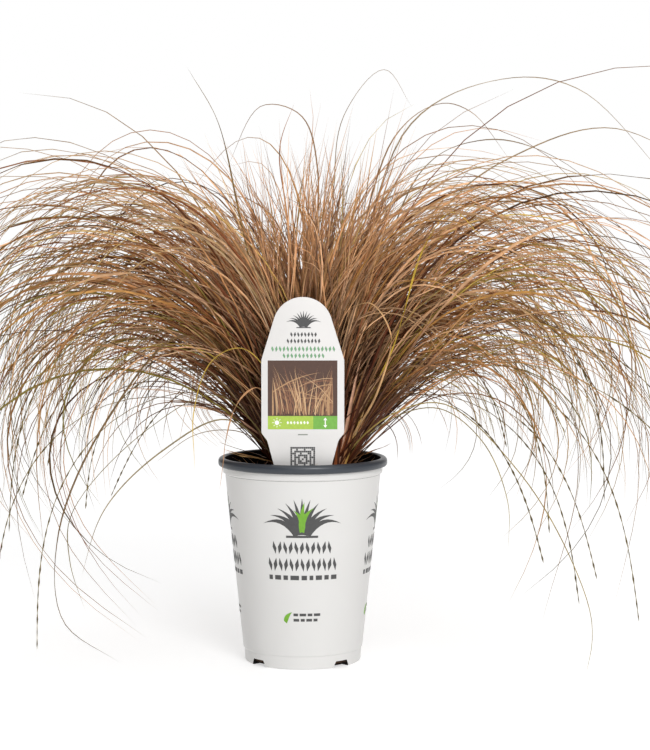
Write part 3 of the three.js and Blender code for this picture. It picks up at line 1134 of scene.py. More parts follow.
@dataclass
class Label:
    """The plant label: a card with a round head and a pointed stake."""

    x: float = 0.5
    y: float = -43.0
    thickness: float = 0.8
    top: float = 247.0
    head_radius: float = 19.5
    half_width: float = 27.1
    shoulder: float = 205.9
    hip: float = 158.0
    heel: float = 153.1
    heel_half_width: float = 23.3
    tip: float = 66.0
    head_steps: int = 48
    corner_round: Round = (1.2, 4)
    edge_round: Round = (0.12, 2)
    sharp: float = 70.0  # the angle in degrees past which an edge is one of the card's rims
    printed_blades: int = 110

    @property
    def front(self) -> float:
        """The y of the label's printed face."""
        return self.y - self.thickness / 2

    def on_front(self, point: Vector) -> Vector:
        """Takes a point of a drawing, with x from the label's middle, to the printed face."""
        return Vector((self.x + point.x, self.front + point.y, point.z))

    def card(self) -> Object:
        """Cuts the card.

        Returns:
            The card.
        """
        centre = self.top - self.head_radius
        flare = math.atan2(self.half_width - self.head_radius, centre - self.shoulder)
        sweep = (flare, math.pi - flare)
        turns = [lerp(sweep, i / self.head_steps) for i in range(self.head_steps + 1)]
        head = [
            (self.head_radius * math.cos(a), centre + self.head_radius * math.sin(a)) for a in turns
        ]
        right = [
            (0.0, self.tip),
            (self.heel_half_width, self.heel),
            (self.half_width, self.hip),
            (self.half_width, self.shoulder),
        ]
        left = [(-x, z) for x, z in reversed(right[1:])]
        bm = bmesh.new()
        verts = [bm.verts.new((self.x + x, self.front, z)) for x, z in [*right, *head, *left]]
        bm.faces.new(verts)
        round_off(bm, verts[1 : len(right)] + verts[-len(left) :], self.corner_round)
        grown = bmesh.ops.extrude_face_region(bm, geom=bm.faces[:], use_keep_orig=True)
        moved = [v for v in grown["geom"] if isinstance(v, BMVert)]
        bmesh.ops.translate(bm, verts=moved, vec=(0, self.thickness, 0))
        bmesh.ops.recalc_face_normals(bm, faces=bm.faces)
        rims = [e for e in bm.edges if e.calc_face_angle(0) > math.radians(self.sharp)]
        round_off(bm, rims, self.edge_round, "EDGES")
        return finish_piece(mesh_of(bm, "plant_label"), [FINISH.label], ["label"])

    def picture(self, x: Pair, z: Pair) -> list[Object]:
        """Prints the panel: blades that cross over a dark ground, as a simple illustration.

        Args:
            x: The panel's left and right edge.
            z: Its lower and upper edge.

        Returns:
            The panel's prints.
        """
        ground = PrintSheet(proud=0.04)
        ground.bar(x, z)
        rng = np.random.default_rng(5)
        middle, width = sum(x) / 2, x[1] - x[0]
        inks = {"mid": FINISH.brown_mid, "tan": FINISH.tan, "sand": FINISH.sand}
        sheets = {name: PrintSheet(proud=0.06 + 0.02 * i) for i, name in enumerate(inks)}
        for i in range(self.printed_blades):
            name = ("mid", "tan", "mid", "mid", "tan", "mid", "sand")[i % 7]
            side = 0.86 * (rng.random() - 0.5)
            root = (side, 0.01 + 0.1 * rng.random() ** 2)
            end = (side * 1.7 + 0.6 * (rng.random() - 0.5), 0.45 + 0.5 * rng.random())
            if i % 9 == 0:  # one that crosses the others
                edge = math.copysign(0.43, side)
                root = (edge, 0.2 + 0.5 * rng.random())
                end = (-edge * rng.random(), 0.1 + 0.8 * rng.random())
            ends = [(middle + width * max(-0.43, min(0.43, u)), lerp(z, v)) for u, v in (root, end)]
            sag = lerp((0.08, 0.3), rng.random()) * (ends[1][0] - ends[0][0])
            sag = max(-2.4, min(2.4, sag))
            sheets[name].blade(ends[0], ends[1], sag, 0.5 + 0.6 * rng.random())
        pieces = [ground.lay(self.on_front, "label_panel", Slot.LABEL, FINISH.brown_dark)]
        for name, sheet in sheets.items():
            piece = sheet.lay(self.on_front, f"label_blades_{name}", Slot.LABEL, inks[name])
            pieces.append(piece)
        return pieces

    def signs(self, lime: tuple[Pair, Pair], green: tuple[Pair, Pair]) -> list[Object]:
        """Prints the two bands under the panel: a sun for light, and an arrow for height.

        Args:
            lime: The x and z of the light band.
            green: The x and z of the height band.

        Returns:
            The bands and their signs.
        """
        light, tall, white = PrintSheet(), PrintSheet(), PrintSheet(proud=0.1)
        light.bar(*lime)
        tall.bar(*green)
        middle = sum(lime[1]) / 2
        sun = lime[0][0] + 6.0
        white.disc(sun, middle, 1.5)
        for i in range(8):
            angle = i * math.pi / 4
            way = (math.cos(angle), math.sin(angle))
            start = (sun + 2.1 * way[0], middle + 2.1 * way[1])
            white.blade(start, (sun + 3.4 * way[0], middle + 3.4 * way[1]), 0, 0.7, 2)
        draw_chain(white, (sun + 6.0, lime[0][1] - 2.5), (middle - 1.2, middle + 1.2), 7)
        arrow = sum(green[0]) / 2
        white.bar((arrow - 0.35, arrow + 0.35), (middle - 1.8, middle + 1.8))
        for end in (-1, 1):
            tip, foot = middle + end * 3.4, middle + end * 1.6
            white.shape([(arrow - 1.3, foot), (arrow, tip), (arrow + 1.3, foot)][:: -end])
        return [
            light.lay(self.on_front, "label_band_light", Slot.LABEL, FINISH.lime),
            tall.lay(self.on_front, "label_band_height", Slot.LABEL, FINISH.grass_green),
            white.lay(self.on_front, "label_signs", Slot.LABEL, FINISH.white_ink),
        ]

    def build(self) -> list[Object]:
        """Cuts and prints the label.

        Returns:
            The card and its prints.
        """
        pieces = [self.card()]
        dark, title, grey = PrintSheet(), PrintSheet(), PrintSheet()
        draw_tuft(dark, 0.5, 227.6, 23.0, 10.6)
        draw_chain(dark, (-8.5, 9.5), (220.9, 224.2), 8, 0.5)
        draw_chain(dark, (-10.8, 11.8), (216.6, 219.9), 10, 0.5)
        draw_chain(title, (-21.0, 21.5), (211.2, 215.0), 17, 0.5)
        draw_chain(title, (-13.5, 14.5), (206.9, 210.4), 11, 0.5)
        grey.bar((-3.2, 3.2), (156.6, 157.4))
        cell, cells = 1.25, 13
        for row in range(cells):
            for column in range(cells):
                edge = max(abs(row - cells // 2), abs(column - cells // 2))
                if edge % 2 == 0 or (row + column) % 4 == 0:
                    x, z = (column - cells / 2) * cell, 149.0 - (row + 1) * cell
                    dark.bar((x, x + cell * 0.9), (z, z + cell * 0.9))
        pieces.append(dark.lay(self.on_front, "label_print_dark", Slot.LABEL, FINISH.charcoal))
        pieces.append(title.lay(self.on_front, "label_titles", Slot.LABEL, FINISH.title_green))
        pieces.append(grey.lay(self.on_front, "label_small_line", Slot.LABEL, FINISH.grey))
        left, split, right = -22.9, 6.8, 22.6
        pieces += self.picture((left, right), (169.2, 205.6))
        pieces += self.signs(((left, split), (160.5, 169.2)), ((split, right), (160.5, 169.2)))
        return pieces


# ---------------- the growth rule


class RandomStream:
    """A seeded stream of numbers from 0 to 1 (mulberry32), worked out a block at a time."""

    BLOCK = 256
    WORD = 0xFFFFFFFF

    def __init__(self, seed: int) -> None:
        """Starts the stream.

        Args:
            seed: The stream's seed.
        """
        self.seed = seed
        self.drawn = 0
        self.block: list[float] = []

    def __call__(self) -> float:
        """The next number of the stream.

        Returns:
            A number from 0 to 1.
        """
        if not self.block:
            self._refill()
        return self.block.pop()

    def _refill(self) -> None:
        """Works out the next block, kept backwards so that it is taken from its end."""
        steps = np.arange(self.drawn + 1, self.drawn + 1 + self.BLOCK, dtype=np.uint64)
        state = (self.seed + steps * 0x6D2B79F5) & self.WORD
        word = ((state ^ (state >> 15)) * (state | 1)) & self.WORD
        word ^= (word + (((word ^ (word >> 7)) * (word | 61)) & self.WORD)) & self.WORD
        self.block = ((word ^ (word >> 14)) / 2.0**32)[::-1].tolist()
        self.drawn += self.BLOCK

    def bell(self) -> float:
        """About a normal draw."""
        return (self() + self() + self() - 1.5) * 2


@dataclass(frozen=True)
class Crown:
    """Where the shoots stand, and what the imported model's blades are like."""

    x: float = 6.6
    radius: float = 27.0
    ring: float = 25.5
    shoots: int = 20
    reach: float = 290.0
    depth: float = 225.0
    height: float = 400.0
    stub_radius: float = 4.0
    stub_edge: float = 0.5
    stub_proud: float = 7.0
    per_shoot: int = 20
    blade_width: float = 1.6
    width_range: Pair = (0.75, 1.05)
    blade_thickness: float = 0.7
    rooted: float = 5.0
    tries: int = 500

    @property
    def keel(self) -> float:
        """How far a blade reaches below its centre line."""
        return 2 / 3 * self.blade_thickness

    def bases(self, level: float) -> Array:
        """Where each shoot leaves the mix.

        Args:
            level: The height of the mix.

        Returns:
            A row for each shoot.
        """
        count = np.arange(self.shoots)
        radius = self.ring * np.sqrt((count + 0.5) / self.shoots)
        angle = count * GOLDEN_ANGLE
        x, y = self.x + radius * np.cos(angle), radius * np.sin(angle)
        return np.stack([x, y, np.full(self.shoots, level)], axis=1)


@dataclass(frozen=True)
class Growth:
    """How the blades grow. Angles are in degrees, from upright."""

    seed: int = 2
    young_share: float = 0.17  # short blades that still stand up in the middle
    long_share: float = 0.18  # blades that outgrow the rest and trail
    parting: float = 0.73  # under 1, the blades part to the left and right
    open_front: float = 0.75  # no full-grown blade heads for the label more squarely
    scatter: Pair = (15.0, 12.0)  # how far headings stray, at the edge and in the middle
    lean: Pair = (0.0, 23.0)  # at the root, in the middle of the crown and at its edge
    side_lean: float = 14.0  # how much more the blades to the left and right lean
    lean_spread: float = 7.6
    length: float = 435.0
    side_length: float = 120.0
    length_range: Pair = (0.39, 1.1)
    inner_short: float = 0.34
    hang: float = 176.0
    hang_spread: float = 27.0
    front_hang: float = 80.0
    stiffness: Pair = (1.17, 1.45)
    inner_stiffness: float = 0.15
    drift: float = 14.0
    long_length: float = 1.61
    long_hang: float = 28.0
    long_stiffness: Pair = (0.68, 1.02)
    young_length: Pair = (195.0, 245.0)
    young_lean: float = 20.0
    young_bend: float = 81.0
    young_drift: float = 14.0
    left_length: float = 0.0  # how much longer the blades to the left are
    right_length: float = 0.0  # and those to the right
    right_lean: float = 0.0  # how much more those to the right lean
    right_hang: float = 0.0  # and how much more they hang
    pale: float = 0.0  # how far the blades are painted paler towards straw: painted light, for blades that catch the light
    young_painted_light: float = 0.2  # and the young ones: partly their own paler colour, partly painted light


# The finer blades between those of the imported model: more young ones, and more that trail
# to the left.
FINER = Growth(
    young_share=0.34,
    long_share=0.24,
    drift=22.0,
    young_drift=45.0,
    left_length=225.0,
    right_length=120.0,
    right_lean=-5.0,
    right_hang=-23.0,
)
# Those that bow early and hang in front of the others, painted paler towards straw as painted light
# where they catch the light.
ARCHING = Growth(
    seed=5,
    young_share=0.0,
    long_share=0.0,
    parting=0.85,
    scatter=(38.0, 55.0),
    lean=(2.0, 15.0),
    side_lean=4.0,
    length=370.0,
    side_length=20.0,
    length_range=(0.6, 1.1),
    inner_short=0.1,
    hang=165.0,
    front_hang=20.0,
    stiffness=(1.1, 1.6),
    drift=38.0,
    right_lean=-4.0,
    right_hang=-14.0,
    pale=0.5,
)
# The flower stalks, which bow to the sides and hang.
FLOWERING = Growth(
    seed=9,
    young_share=0.0,
    long_share=0.0,
    parting=0.3,
    lean=(5.0, 28.0),
    side_lean=0.0,
    length=440.0,
    side_length=0.0,
    length_range=(0.65, 1.0),
    hang=176.0,
    hang_spread=5.0,
    stiffness=(0.55, 1.0),
)


@dataclass(frozen=True)
class Blade:
    """One blade as it grows: where it leaves its stub, and how it leans, bends and hangs."""

    shoot: int
    collar: Array
    outward: float
    young: bool
    heading: float
    lean: float
    hang: float
    length: float
    stiffness: float
    drift: float
    width: float
    # How far it is painted paler towards straw, painted light where it catches the light; it
    # narrows the blade too.
    pale: float

    STEPS = 8  # in which a stretch between two rings is worked out

    def shares(self, bend_per_ring: float, fewest: int, most: int) -> Array:
        """The shares of its length where it has a ring: closer together where it bends.

        Args:
            bend_per_ring: How many degrees it may bend from ring to ring.
            fewest: The fewest stretches that it has.
            most: The most stretches that it has.

        Returns:
            The shares, from 0 to 1.
        """
        wanted = math.ceil((self.hang - self.lean) / math.radians(bend_per_ring))
        even = np.linspace(0, 1, max(fewest, min(most, wanted)) + 1)
        even_bend = 0.5 - np.sin(np.arcsin(1 - 2 * even) / 3)  # the inverse of smoothstep
        return (even + np.clip(even_bend, 0, 1) ** (1 / self.stiffness)) / 2

    def course(self, t: Array) -> tuple[Array, Array]:
        """How it runs at shares of its length: straight at first, then over and down.

        Args:
            t: The shares.

        Returns:
            The ways along and across it, a row for each share.
        """
        from_up = self.lean + (self.hang - self.lean) * eased(t**self.stiffness)
        heading = self.heading + self.drift * t * t
        flat = np.sin(from_up)
        along = np.stack([flat * np.cos(heading), flat * np.sin(heading), np.cos(from_up)], -1)
        across = np.stack([np.sin(heading), -np.cos(heading), np.zeros_like(heading)], -1)
        return along, across

    def centre_line(self, shares: Array, rooted: float) -> Array:
        """Its centre line, with a point for each ring.

        Args:
            shares: The shares of its length that have a ring.
            rooted: How far below its collar it starts.

        Returns:
            A row for each point.
        """
        start = self.collar - rooted * self.course(np.zeros(1))[0][0]
        span = np.diff(shares)[:, None]
        t = shares[:-1, None] + span * (np.arange(self.STEPS) + 0.5) / self.STEPS
        strides = self.course(t)[0].sum(axis=1) * span * self.length / self.STEPS
        return start + np.concatenate([np.zeros((1, 3)), np.cumsum(strides, axis=0)])

    def half_width(self, t: Array) -> Array:
        """Half its width: narrow in the sheath, widest low down, drawn out to the tip."""
        return self.width / 2 * np.minimum(1, 0.55 + 2.5 * t) * (1 - t**1.8)


@dataclass
class Nursery:
    """Grows blades by the rule, clear of the pot and the label.

    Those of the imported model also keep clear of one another. The finer ones may cross.
    """

    crown: Crown
    growth: Growth
    pot: Pot
    label: Label
    level: float
    finer_ceiling: Pair = (330.0, 368.0)  # each full-grown finer blade stays under one of these
    ceiling_tilt: float = 10.0  # how much higher they may stand to the left, and lower to the right
    locked: float = 0.5  # the share of the finer blades that keep to the one before them
    lock_stray: float = 1.5  # how far their angles stray from its own, in degrees
    lock_length: Pair = (0.8, 1.08)
    more_left: float = 0.3  # how many more of them the leftmost shoot has, as a share
    room_blade: float = 0.2
    room_own_blade: float = 0.1
    room_ground: float = 8.0
    room_rim: float = 5.0
    room_rim_top: float = 3.0
    room_label: float = 3.0
    room_face: float = 12.0
    bend_per_ring: float = 27.0
    fewest_rings: int = 3
    most_rings: int = 7

    def draw(
        self, growth: Growth, base: Array, shoot: int, number: int, random: RandomStream
    ) -> Blade:
        """Draws one blade.

        Args:
            growth: How it grows.
            base: Where its shoot leaves the mix.
            shoot: The shoot's number.
            number: The blade's number on it.
            random: Where the draws come from.

        Returns:
            The blade.
        """
        crown = self.crown
        share = (number % crown.per_shoot + 0.5) / crown.per_shoot
        spot = (crown.stub_radius - crown.stub_edge) * math.sqrt(share)
        turned = number * GOLDEN_ANGLE
        offset = (spot * math.cos(turned), spot * math.sin(turned), crown.stub_proud)
        collar = base + np.array(offset)
        off_centre = collar[0] - crown.x
        outward = math.hypot(off_centre, collar[1]) / crown.radius
        inward = 1 - outward
        young = random() < growth.young_share
        long = random() < growth.long_share

        # Blades part to the left and right of the crown.
        stray = random.bell() * math.radians(lerp(growth.scatter, inward))
        around = math.atan2(collar[1], off_centre) + stray
        parted = math.atan2(growth.parting * math.sin(around), math.cos(around))
        heading = random() * 2 * math.pi if young else parted
        sideways = math.cos(heading) ** 2
        left, right = max(0.0, -math.cos(heading)), max(0.0, math.cos(heading))

        lean = lerp(growth.lean, outward) + growth.side_lean * sideways
        lean += growth.right_lean * right
        lean += growth.lean_spread * random.bell()
        length = growth.length + growth.side_length * sideways
        length += growth.left_length * left
        length += growth.right_length * right
        length *= lerp(growth.length_range, random()) * (1 - growth.inner_short * inward)
        hang = growth.hang + growth.hang_spread * random.bell()
        hang -= growth.front_hang * (1 - sideways)
        hang += growth.right_hang * right
        stiffness = lerp(growth.stiffness, random()) + growth.inner_stiffness * inward
        if long:
            length *= growth.long_length
            hang += growth.long_hang
            stiffness *= lerp(growth.long_stiffness, random())
        if young:
            length = lerp(growth.young_length, random())
            lean = growth.young_lean * abs(random.bell())
            hang = lean + growth.young_bend * random()
        drift = math.radians(growth.young_drift if young else growth.drift) * random.bell()
        width = crown.blade_width * lerp(crown.width_range, random())
        angles = (heading, math.radians(lean), math.radians(hang))
        bend = (*angles, length, stiffness, drift)
        # The blade's paleness: painted light.
        pale = growth.young_painted_light if young else growth.pale
        return Blade(shoot, collar, outward, young, *bend, width, pale)

    def beside(self, other: Blade, random: RandomStream) -> Blade:
        """Draws a blade that keeps to another one, so that the two hang in a lock.

        Args:
            other: The other blade.
            random: Where the draws come from.

        Returns:
            The blade.
        """
        stray = math.radians(self.lock_stray)
        return replace(
            other,
            heading=other.heading + stray * random.bell(),
            lean=other.lean + stray * random.bell(),
            hang=other.hang + 2 * stray * random.bell(),
            length=other.length * lerp(self.lock_length, random()),
            drift=other.drift + 2 * stray * random.bell(),
            width=self.crown.blade_width * lerp(self.crown.width_range, random()),
        )

    def clear_of_holder(self, points: Array) -> bool:
        """Whether a blade keeps clear of the pot, the label and the mix, and within reach.

        Args:
            points: Its centre line.

        Returns:
            True if it does.
        """
        crown, pot, label = self.crown, self.pot, self.label
        steps = (np.arange(Blade.STEPS) + 1) / Blade.STEPS
        p = points[:-1, None] + np.diff(points, axis=0)[:, None] * steps[None, :, None]
        x, y, z = np.moveaxis(p, -1, 0)
        if z.min() < self.room_ground or z.max() > crown.height:
            return False
        if np.abs(y).max() > crown.depth or np.abs(x - crown.x).max() > crown.reach:
            return False
        radius = np.hypot(x, y)
        low = z < pot.height + self.room_rim_top
        past_wall = radius > pot.collar_radius - self.room_rim
        past_wall[1:] = True
        if (low & past_wall & (radius < pot.rim_radius + self.room_rim)).any():
            return False
        beside = np.abs(x - label.x) < label.half_width + self.room_label
        near = np.abs(y - label.y) < self.room_label
        if (beside & near & (z < label.top + self.room_label)).any():
            return False
        before = (y < label.y) & (np.abs(x) < pot.rim_radius + self.room_face)
        return not (before & (z < label.top + self.room_face)).any()

    def grow(self) -> list[Blade]:
        """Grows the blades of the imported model.

        Returns:
            The blades that found room.
        """
        bases = self.crown.bases(self.level)
        thicket = Thicket(self, bases)
        for number in range(self.crown.per_shoot):
            for shoot, base in enumerate(bases):
                random = RandomStream(self.growth.seed + 1000 * shoot + number)
                for _ in range(self.crown.tries):
                    if thicket.takes(self.draw(self.growth, base, shoot, number, random)):
                        break
        return thicket.blades

    def heads_for_label(self, blade: Blade) -> bool:
        """Whether a full-grown blade would hang over the label.

        Args:
            blade: The blade.

        Returns:
            True if it would.
        """
        return not blade.young and -math.sin(blade.heading) > self.growth.open_front

    def coarse_line(self, blade: Blade) -> tuple[Array, Array]:
        """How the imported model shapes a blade.

        Args:
            blade: The blade.

        Returns:
            The shares of its length that have a ring there, and its centre line.
        """
        shares = blade.shares(self.bend_per_ring, self.fewest_rings, self.most_rings)
        return shares, blade.centre_line(shares, self.crown.rooted)

    def fill_in(self, growth: Growth, first: int, count: int, box: Array) -> list[Blade]:
        """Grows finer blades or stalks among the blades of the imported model.

        They keep clear of the pot and the label, but not of other blades.

        Args:
            growth: How they grow.
            first: The number of the first one on each shoot.
            count: How many of them a shoot in the middle has.
            box: The lowest and highest corner that they stay within.

        Returns:
            Those that found room.
        """
        blades = []
        for shoot, base in enumerate(self.crown.bases(self.level)):
            more = self.more_left * (self.crown.x - base[0]) / self.crown.ring
            for number in range(first, first + round(count * (1 + more))):
                random = RandomStream(growth.seed + 1000 * shoot + number)
                ceiling = lerp(self.finer_ceiling, random())
                for _ in range(self.crown.tries):
                    if blades and number > first and random() < self.locked:
                        blade = self.beside(blades[-1], random)
                    else:
                        blade = self.draw(growth, base, shoot, number, random)
                    if self.heads_for_label(blade):
                        continue
                    line = self.coarse_line(blade)[1]
                    tilt = self.ceiling_tilt * math.cos(blade.heading)
                    low = blade.young or line[:, 2].max() < ceiling - tilt
                    inside = low and (line > box[0]).all() and (line < box[1]).all()
                    if inside and self.clear_of_holder(line):
                        blades.append(blade)
                        break
        return blades


def stretch_distance(a: Array, b: Array, c: Array, d: Array) -> Array:
    """The shortest distance between straight stretches, row by row.

    Args:
        a: Where the first ones start.
        b: Where they end.
        c: Where the second ones start.
        d: Where they end.

    Returns:
        The distances.
    """
    u, v, w = b - a, d - c, a - c
    uu, uv, vv = (u * u).sum(-1), (u * v).sum(-1), (v * v).sum(-1)
    uw, vw = (u * w).sum(-1), (v * w).sum(-1)
    spread = uu * vv - uv * uv
    apart = spread > 1e-9
    s = np.where(apart, clip01((uv * vw - vv * uw) / np.where(apart, spread, 1)), 0)
    t = clip01((uv * s + vw) / vv)
    s = clip01((uv * t - uw) / uu)
    return np.linalg.norm(w + u * s[..., None] - v * t[..., None], axis=-1)


class Thicket:
    """The blades that have grown so far, as straight stretches to keep clear of."""

    def __init__(self, nursery: Nursery, bases: Array) -> None:
        """Starts with bare stubs.

        Args:
            nursery: Whose rule it follows.
            bases: Where the shoots leave the mix.
        """
        crown = nursery.crown
        self.nursery = nursery
        self.blades: list[Blade] = []
        self.bases = bases
        self.stub_tops = bases + np.array([0, 0, crown.stub_proud])
        room = crown.shoots * crown.per_shoot * nursery.most_rings
        self.starts = np.zeros((room, 3))
        self.ends = np.zeros((room, 3))
        self.lengths = np.zeros(room)
        self.reaches = np.zeros(room)
        self.owners = np.zeros(room, int)
        self.count = 0

    def takes(self, blade: Blade) -> bool:
        """Adds a blade if it hangs clear of all that is there.

        Args:
            blade: The blade.

        Returns:
            True if it was added.
        """
        nursery = self.nursery
        if nursery.heads_for_label(blade):
            return False
        shares, points = nursery.coarse_line(blade)
        reach = np.maximum(blade.half_width(shares), nursery.crown.keel)[:-1]
        if not nursery.clear_of_holder(points):
            return False
        if self._meets_stub(blade, points, reach) or self._meets_blade(blade, points, reach):
            return False
        size = len(reach)
        new = slice(self.count, self.count + size)
        self.starts[new], self.ends[new] = points[:-1], points[1:]
        self.lengths[new] = np.linalg.norm(points[1:] - points[:-1], axis=1)
        self.reaches[new], self.owners[new] = reach, blade.shoot
        self.count += size
        self.blades.append(blade)
        return True

    def _meets_stub(self, blade: Blade, points: Array, reach: Array) -> bool:
        """Whether a blade's first stretch meets the stub of another shoot.

        Args:
            blade: The blade.
            points: Its centre line.
            reach: How far each of its stretches reaches from that line.

        Returns:
            True if it does.
        """
        nursery = self.nursery
        room = nursery.crown.stub_radius + reach[0] + nursery.room_blade
        gaps = stretch_distance(points[:1], points[1:2], self.bases, self.stub_tops)
        gaps[blade.shoot] = np.inf
        return bool((gaps <= room).any())

    def _meets_blade(self, blade: Blade, points: Array, reach: Array) -> bool:
        """Whether a blade meets one that has grown already.

        Args:
            blade: The blade.
            points: Its centre line.
            reach: How far each of its stretches reaches from that line.

        Returns:
            True if it does.
        """
        there = slice(0, self.count)
        own = self.owners[there] == blade.shoot
        air = np.where(own, self.nursery.room_own_blade, self.nursery.room_blade)
        room = reach[:, None] + self.reaches[there][None] + air[None]
        starts, ends = points[:-1], points[1:]
        lengths = np.linalg.norm(ends - starts, axis=1)
        apart = np.linalg.norm(starts[:, None] - self.starts[there][None], axis=-1)
        mine, theirs = np.nonzero(apart <= lengths[:, None] + self.lengths[there][None] + room)
        if not len(mine):
            return False
        others = (self.starts[there][theirs], self.ends[there][theirs])
        gaps = stretch_distance(starts[mine], ends[mine], *others)
        return bool((gaps < room[mine, theirs]).any())


# ---------------- foliage


@dataclass(frozen=True)
class Tone:
    """One colour that blades have, and how common it is in the middle and in the wings."""

    colour: str
    inner: float
    outer: float


TONES = (
    Tone("e8b68a", 0.20, 0.08),  # pinkish straw
    Tone("d09460", 0.27, 0.14),  # copper
    Tone("b38348", 0.14, 0.18),  # bronze
    Tone("98663c", 0.12, 0.16),  # mid brown
    Tone("804626", 0.13, 0.12),  # red brown
    Tone("562e17", 0.12, 0.11),  # dark brown
    Tone("8d7c38", 0.01, 0.09),  # olive
    Tone("c4a64a", 0.02, 0.07),  # gold
    Tone("e0c084", 0.01, 0.05),  # straw
)
# Dark root colour: partly the leaves' own redder base, partly painted shade of the clump's deep
# middle.
ROOT_AND_SHADE_TONE = "431c0c"
TIP_TONE = "655d2f"
# Painted light: the straw colour that blades which catch the light are painted towards.
PAINTED_LIGHT_TONE = "ecc69e"
STALK_TONE = "8c7b4c"
SEED_TONE = "57492a"
SHEATH_TONES = ("b07a50", "c08a68", "a8683f", "8a4e2e", "c9a05a", "6b3620", "d0a184", "4a2414")


@dataclass(frozen=True)
class Stray:
    """A blade that hangs apart from the rest: its colour, its width, and its route."""

    colour: str
    width: float
    root: Pair
    route: tuple[tuple[float, float, float], ...]

    def line(self, level: float, rings: int) -> Array:
        """A smooth line from its root through every point of its route.

        Args:
            level: The height of the mix.
            rings: How many stretches the line has.

        Returns:
            A row for each point of the line.
        """
        foot = [(*self.root, level - 6), (*self.root, level + 8)]
        knots = np.array([*foot, *self.route], float)
        gaps = np.sqrt(np.linalg.norm(np.diff(knots, axis=0), axis=1))[:, None]
        slopes = np.diff(knots, axis=0) / gaps
        inner = slopes[:-1] * gaps[1:] + slopes[1:] * gaps[:-1]
        inner /= gaps[1:] + gaps[:-1]
        slopes = np.concatenate([slopes[:1], inner, slopes[-1:]])
        times = np.concatenate([[0.0], np.cumsum(gaps[:, 0])])
        time = np.linspace(0, times[-1], rings + 1)
        leg = np.clip(np.searchsorted(times, time, side="right") - 1, 0, len(gaps) - 1)
        span = gaps[leg]
        t = (time - times[leg])[:, None] / span
        start = (1 + 2 * t) * (1 - t) ** 2 * knots[leg] + t * (1 - t) ** 2 * span * slopes[leg]
        end = t**2 * (3 - 2 * t) * knots[leg + 1] - t**2 * (1 - t) * span * slopes[leg + 1]
        return start + end


STRAYS = (
    # Old leaves that lean on the rim.
    Stray("b58a5c", 1.5, (-13, -2), ((-26, -3, 136), (-40, -1, 139), (-54, 2, 143))),
    Stray("8f6840", 1.3, (-14, 5), ((-28, 9, 137), (-42, 14, 141), (-58, 20, 146))),
    Stray("c29a66", 1.2, (-12, -9), ((-26, -12, 137), (-38, -11, 139), (-53, -7, 142))),
    Stray("9a6a40", 1.4, (25, 3), ((38, 8, 137), (48, 14, 140), (60, 22, 145))),
    # Tall ones that stand up out of the middle.
    Stray("7a6238", 1.5, (-10, -5), ((-35, -20, 270), (-55, -35, 360), (-74, -40, 396))),
    Stray("a0643a", 1.4, (-5, -10), ((-10, -10, 295), (-15, -10, 345), (-5, -10, 375))),
    # Arches over the top, from left to right.
    Stray("8a6a4a", 1.2, (-5, 15), ((10, 12, 330), (-2, 16, 368), (-28, 20, 374), (-50, 30, 335))),
    Stray("a08a70", 0.9, (15, 15), ((20, 20, 310), (30, 33, 372), (55, 40, 400), (76, 50, 375))),
    Stray("9a7a58", 1.1, (15, -5), ((60, 0, 350), (92, 8, 375), (112, 10, 370), (140, 20, 338))),
    Stray("8a755a", 1.1, (25, 10), ((80, 20, 330), (125, 33, 352), (175, 45, 340), (232, 58, 293))),
    Stray("a08c70", 1.1, (20, 5), ((70, 20, 358), (135, 35, 393), (190, 48, 387), (262, 62, 318))),
    Stray(
        "a08662", 1.1, (25, 0),
        ((95, -20, 305), (145, -35, 342), (200, -52, 356), (268, -70, 322)),
    ),
    # Trailers to the right, the longest first.
    Stray(
        "9a8448", 1.6, (25, -10),
        (
            (58, -45, 170), (92, -55, 178), (138, -75, 137),
            (170, -90, 85), (185, -103, 40), (180, -110, 12),
        ),
    ),
    Stray(
        "7a5c3c", 1.3, (25, -5),
        ((75, -30, 262), (125, -50, 262), (160, -66, 218), (176, -90, 135), (150, -118, 45)),
    ),
    Stray(
        "9a8a58", 1.1, (25, -10),
        ((58, -32, 166), (90, -43, 174), (118, -58, 153), (130, -76, 120), (130, -90, 85)),
    ),
    # Trailers to the left, the longest first.
    Stray(
        "6b5334", 1.5, (-12, -8),
        ((-75, -45, 222), (-125, -72, 168), (-155, -98, 95), (-148, -118, 48), (-110, -130, 24)),
    ),
    Stray(
        "7a6a3c", 1.3, (-14, -10),
        ((-55, -35, 182), (-100, -58, 162), (-145, -85, 112), (-144, -100, 82), (-134, -110, 52)),
    ),
    Stray(
        "8a7a58", 1.2, (-15, -12),
        ((-50, -35, 166), (-90, -52, 148), (-126, -68, 112), (-140, -80, 68)),
    ),
    # Small ones: two hooks beside the label, one low over the rim, and two at the right.
    Stray(
        "c8a84c", 1.6, (-5, -18),
        ((-20, -30, 192), (-40, -48, 214), (-58, -56, 206), (-69, -64, 172), (-71, -74, 134)),
    ),
    Stray(
        "b88a62", 1.5, (-6, -20),
        ((-28, -36, 187), (-41, -48, 179), (-50, -56, 156), (-54, -62, 122)),
    ),
    Stray(
        "94764c", 1.5, (-14, 0),
        ((-27, -12, 148), (-45, -17, 157), (-70, -21, 155), (-97, -26, 137)),
    ),
    Stray(
        "c9a83e", 1.5, (25, -8),
        ((60, -35, 215), (80, -53, 280), (97, -66, 302), (121, -80, 276)),
    ),
    Stray(
        "c49a6c", 1.5, (22, -12),
        ((50, -36, 185), (57, -45, 222), (45, -50, 243), (30, -50, 240)),
    ),
)


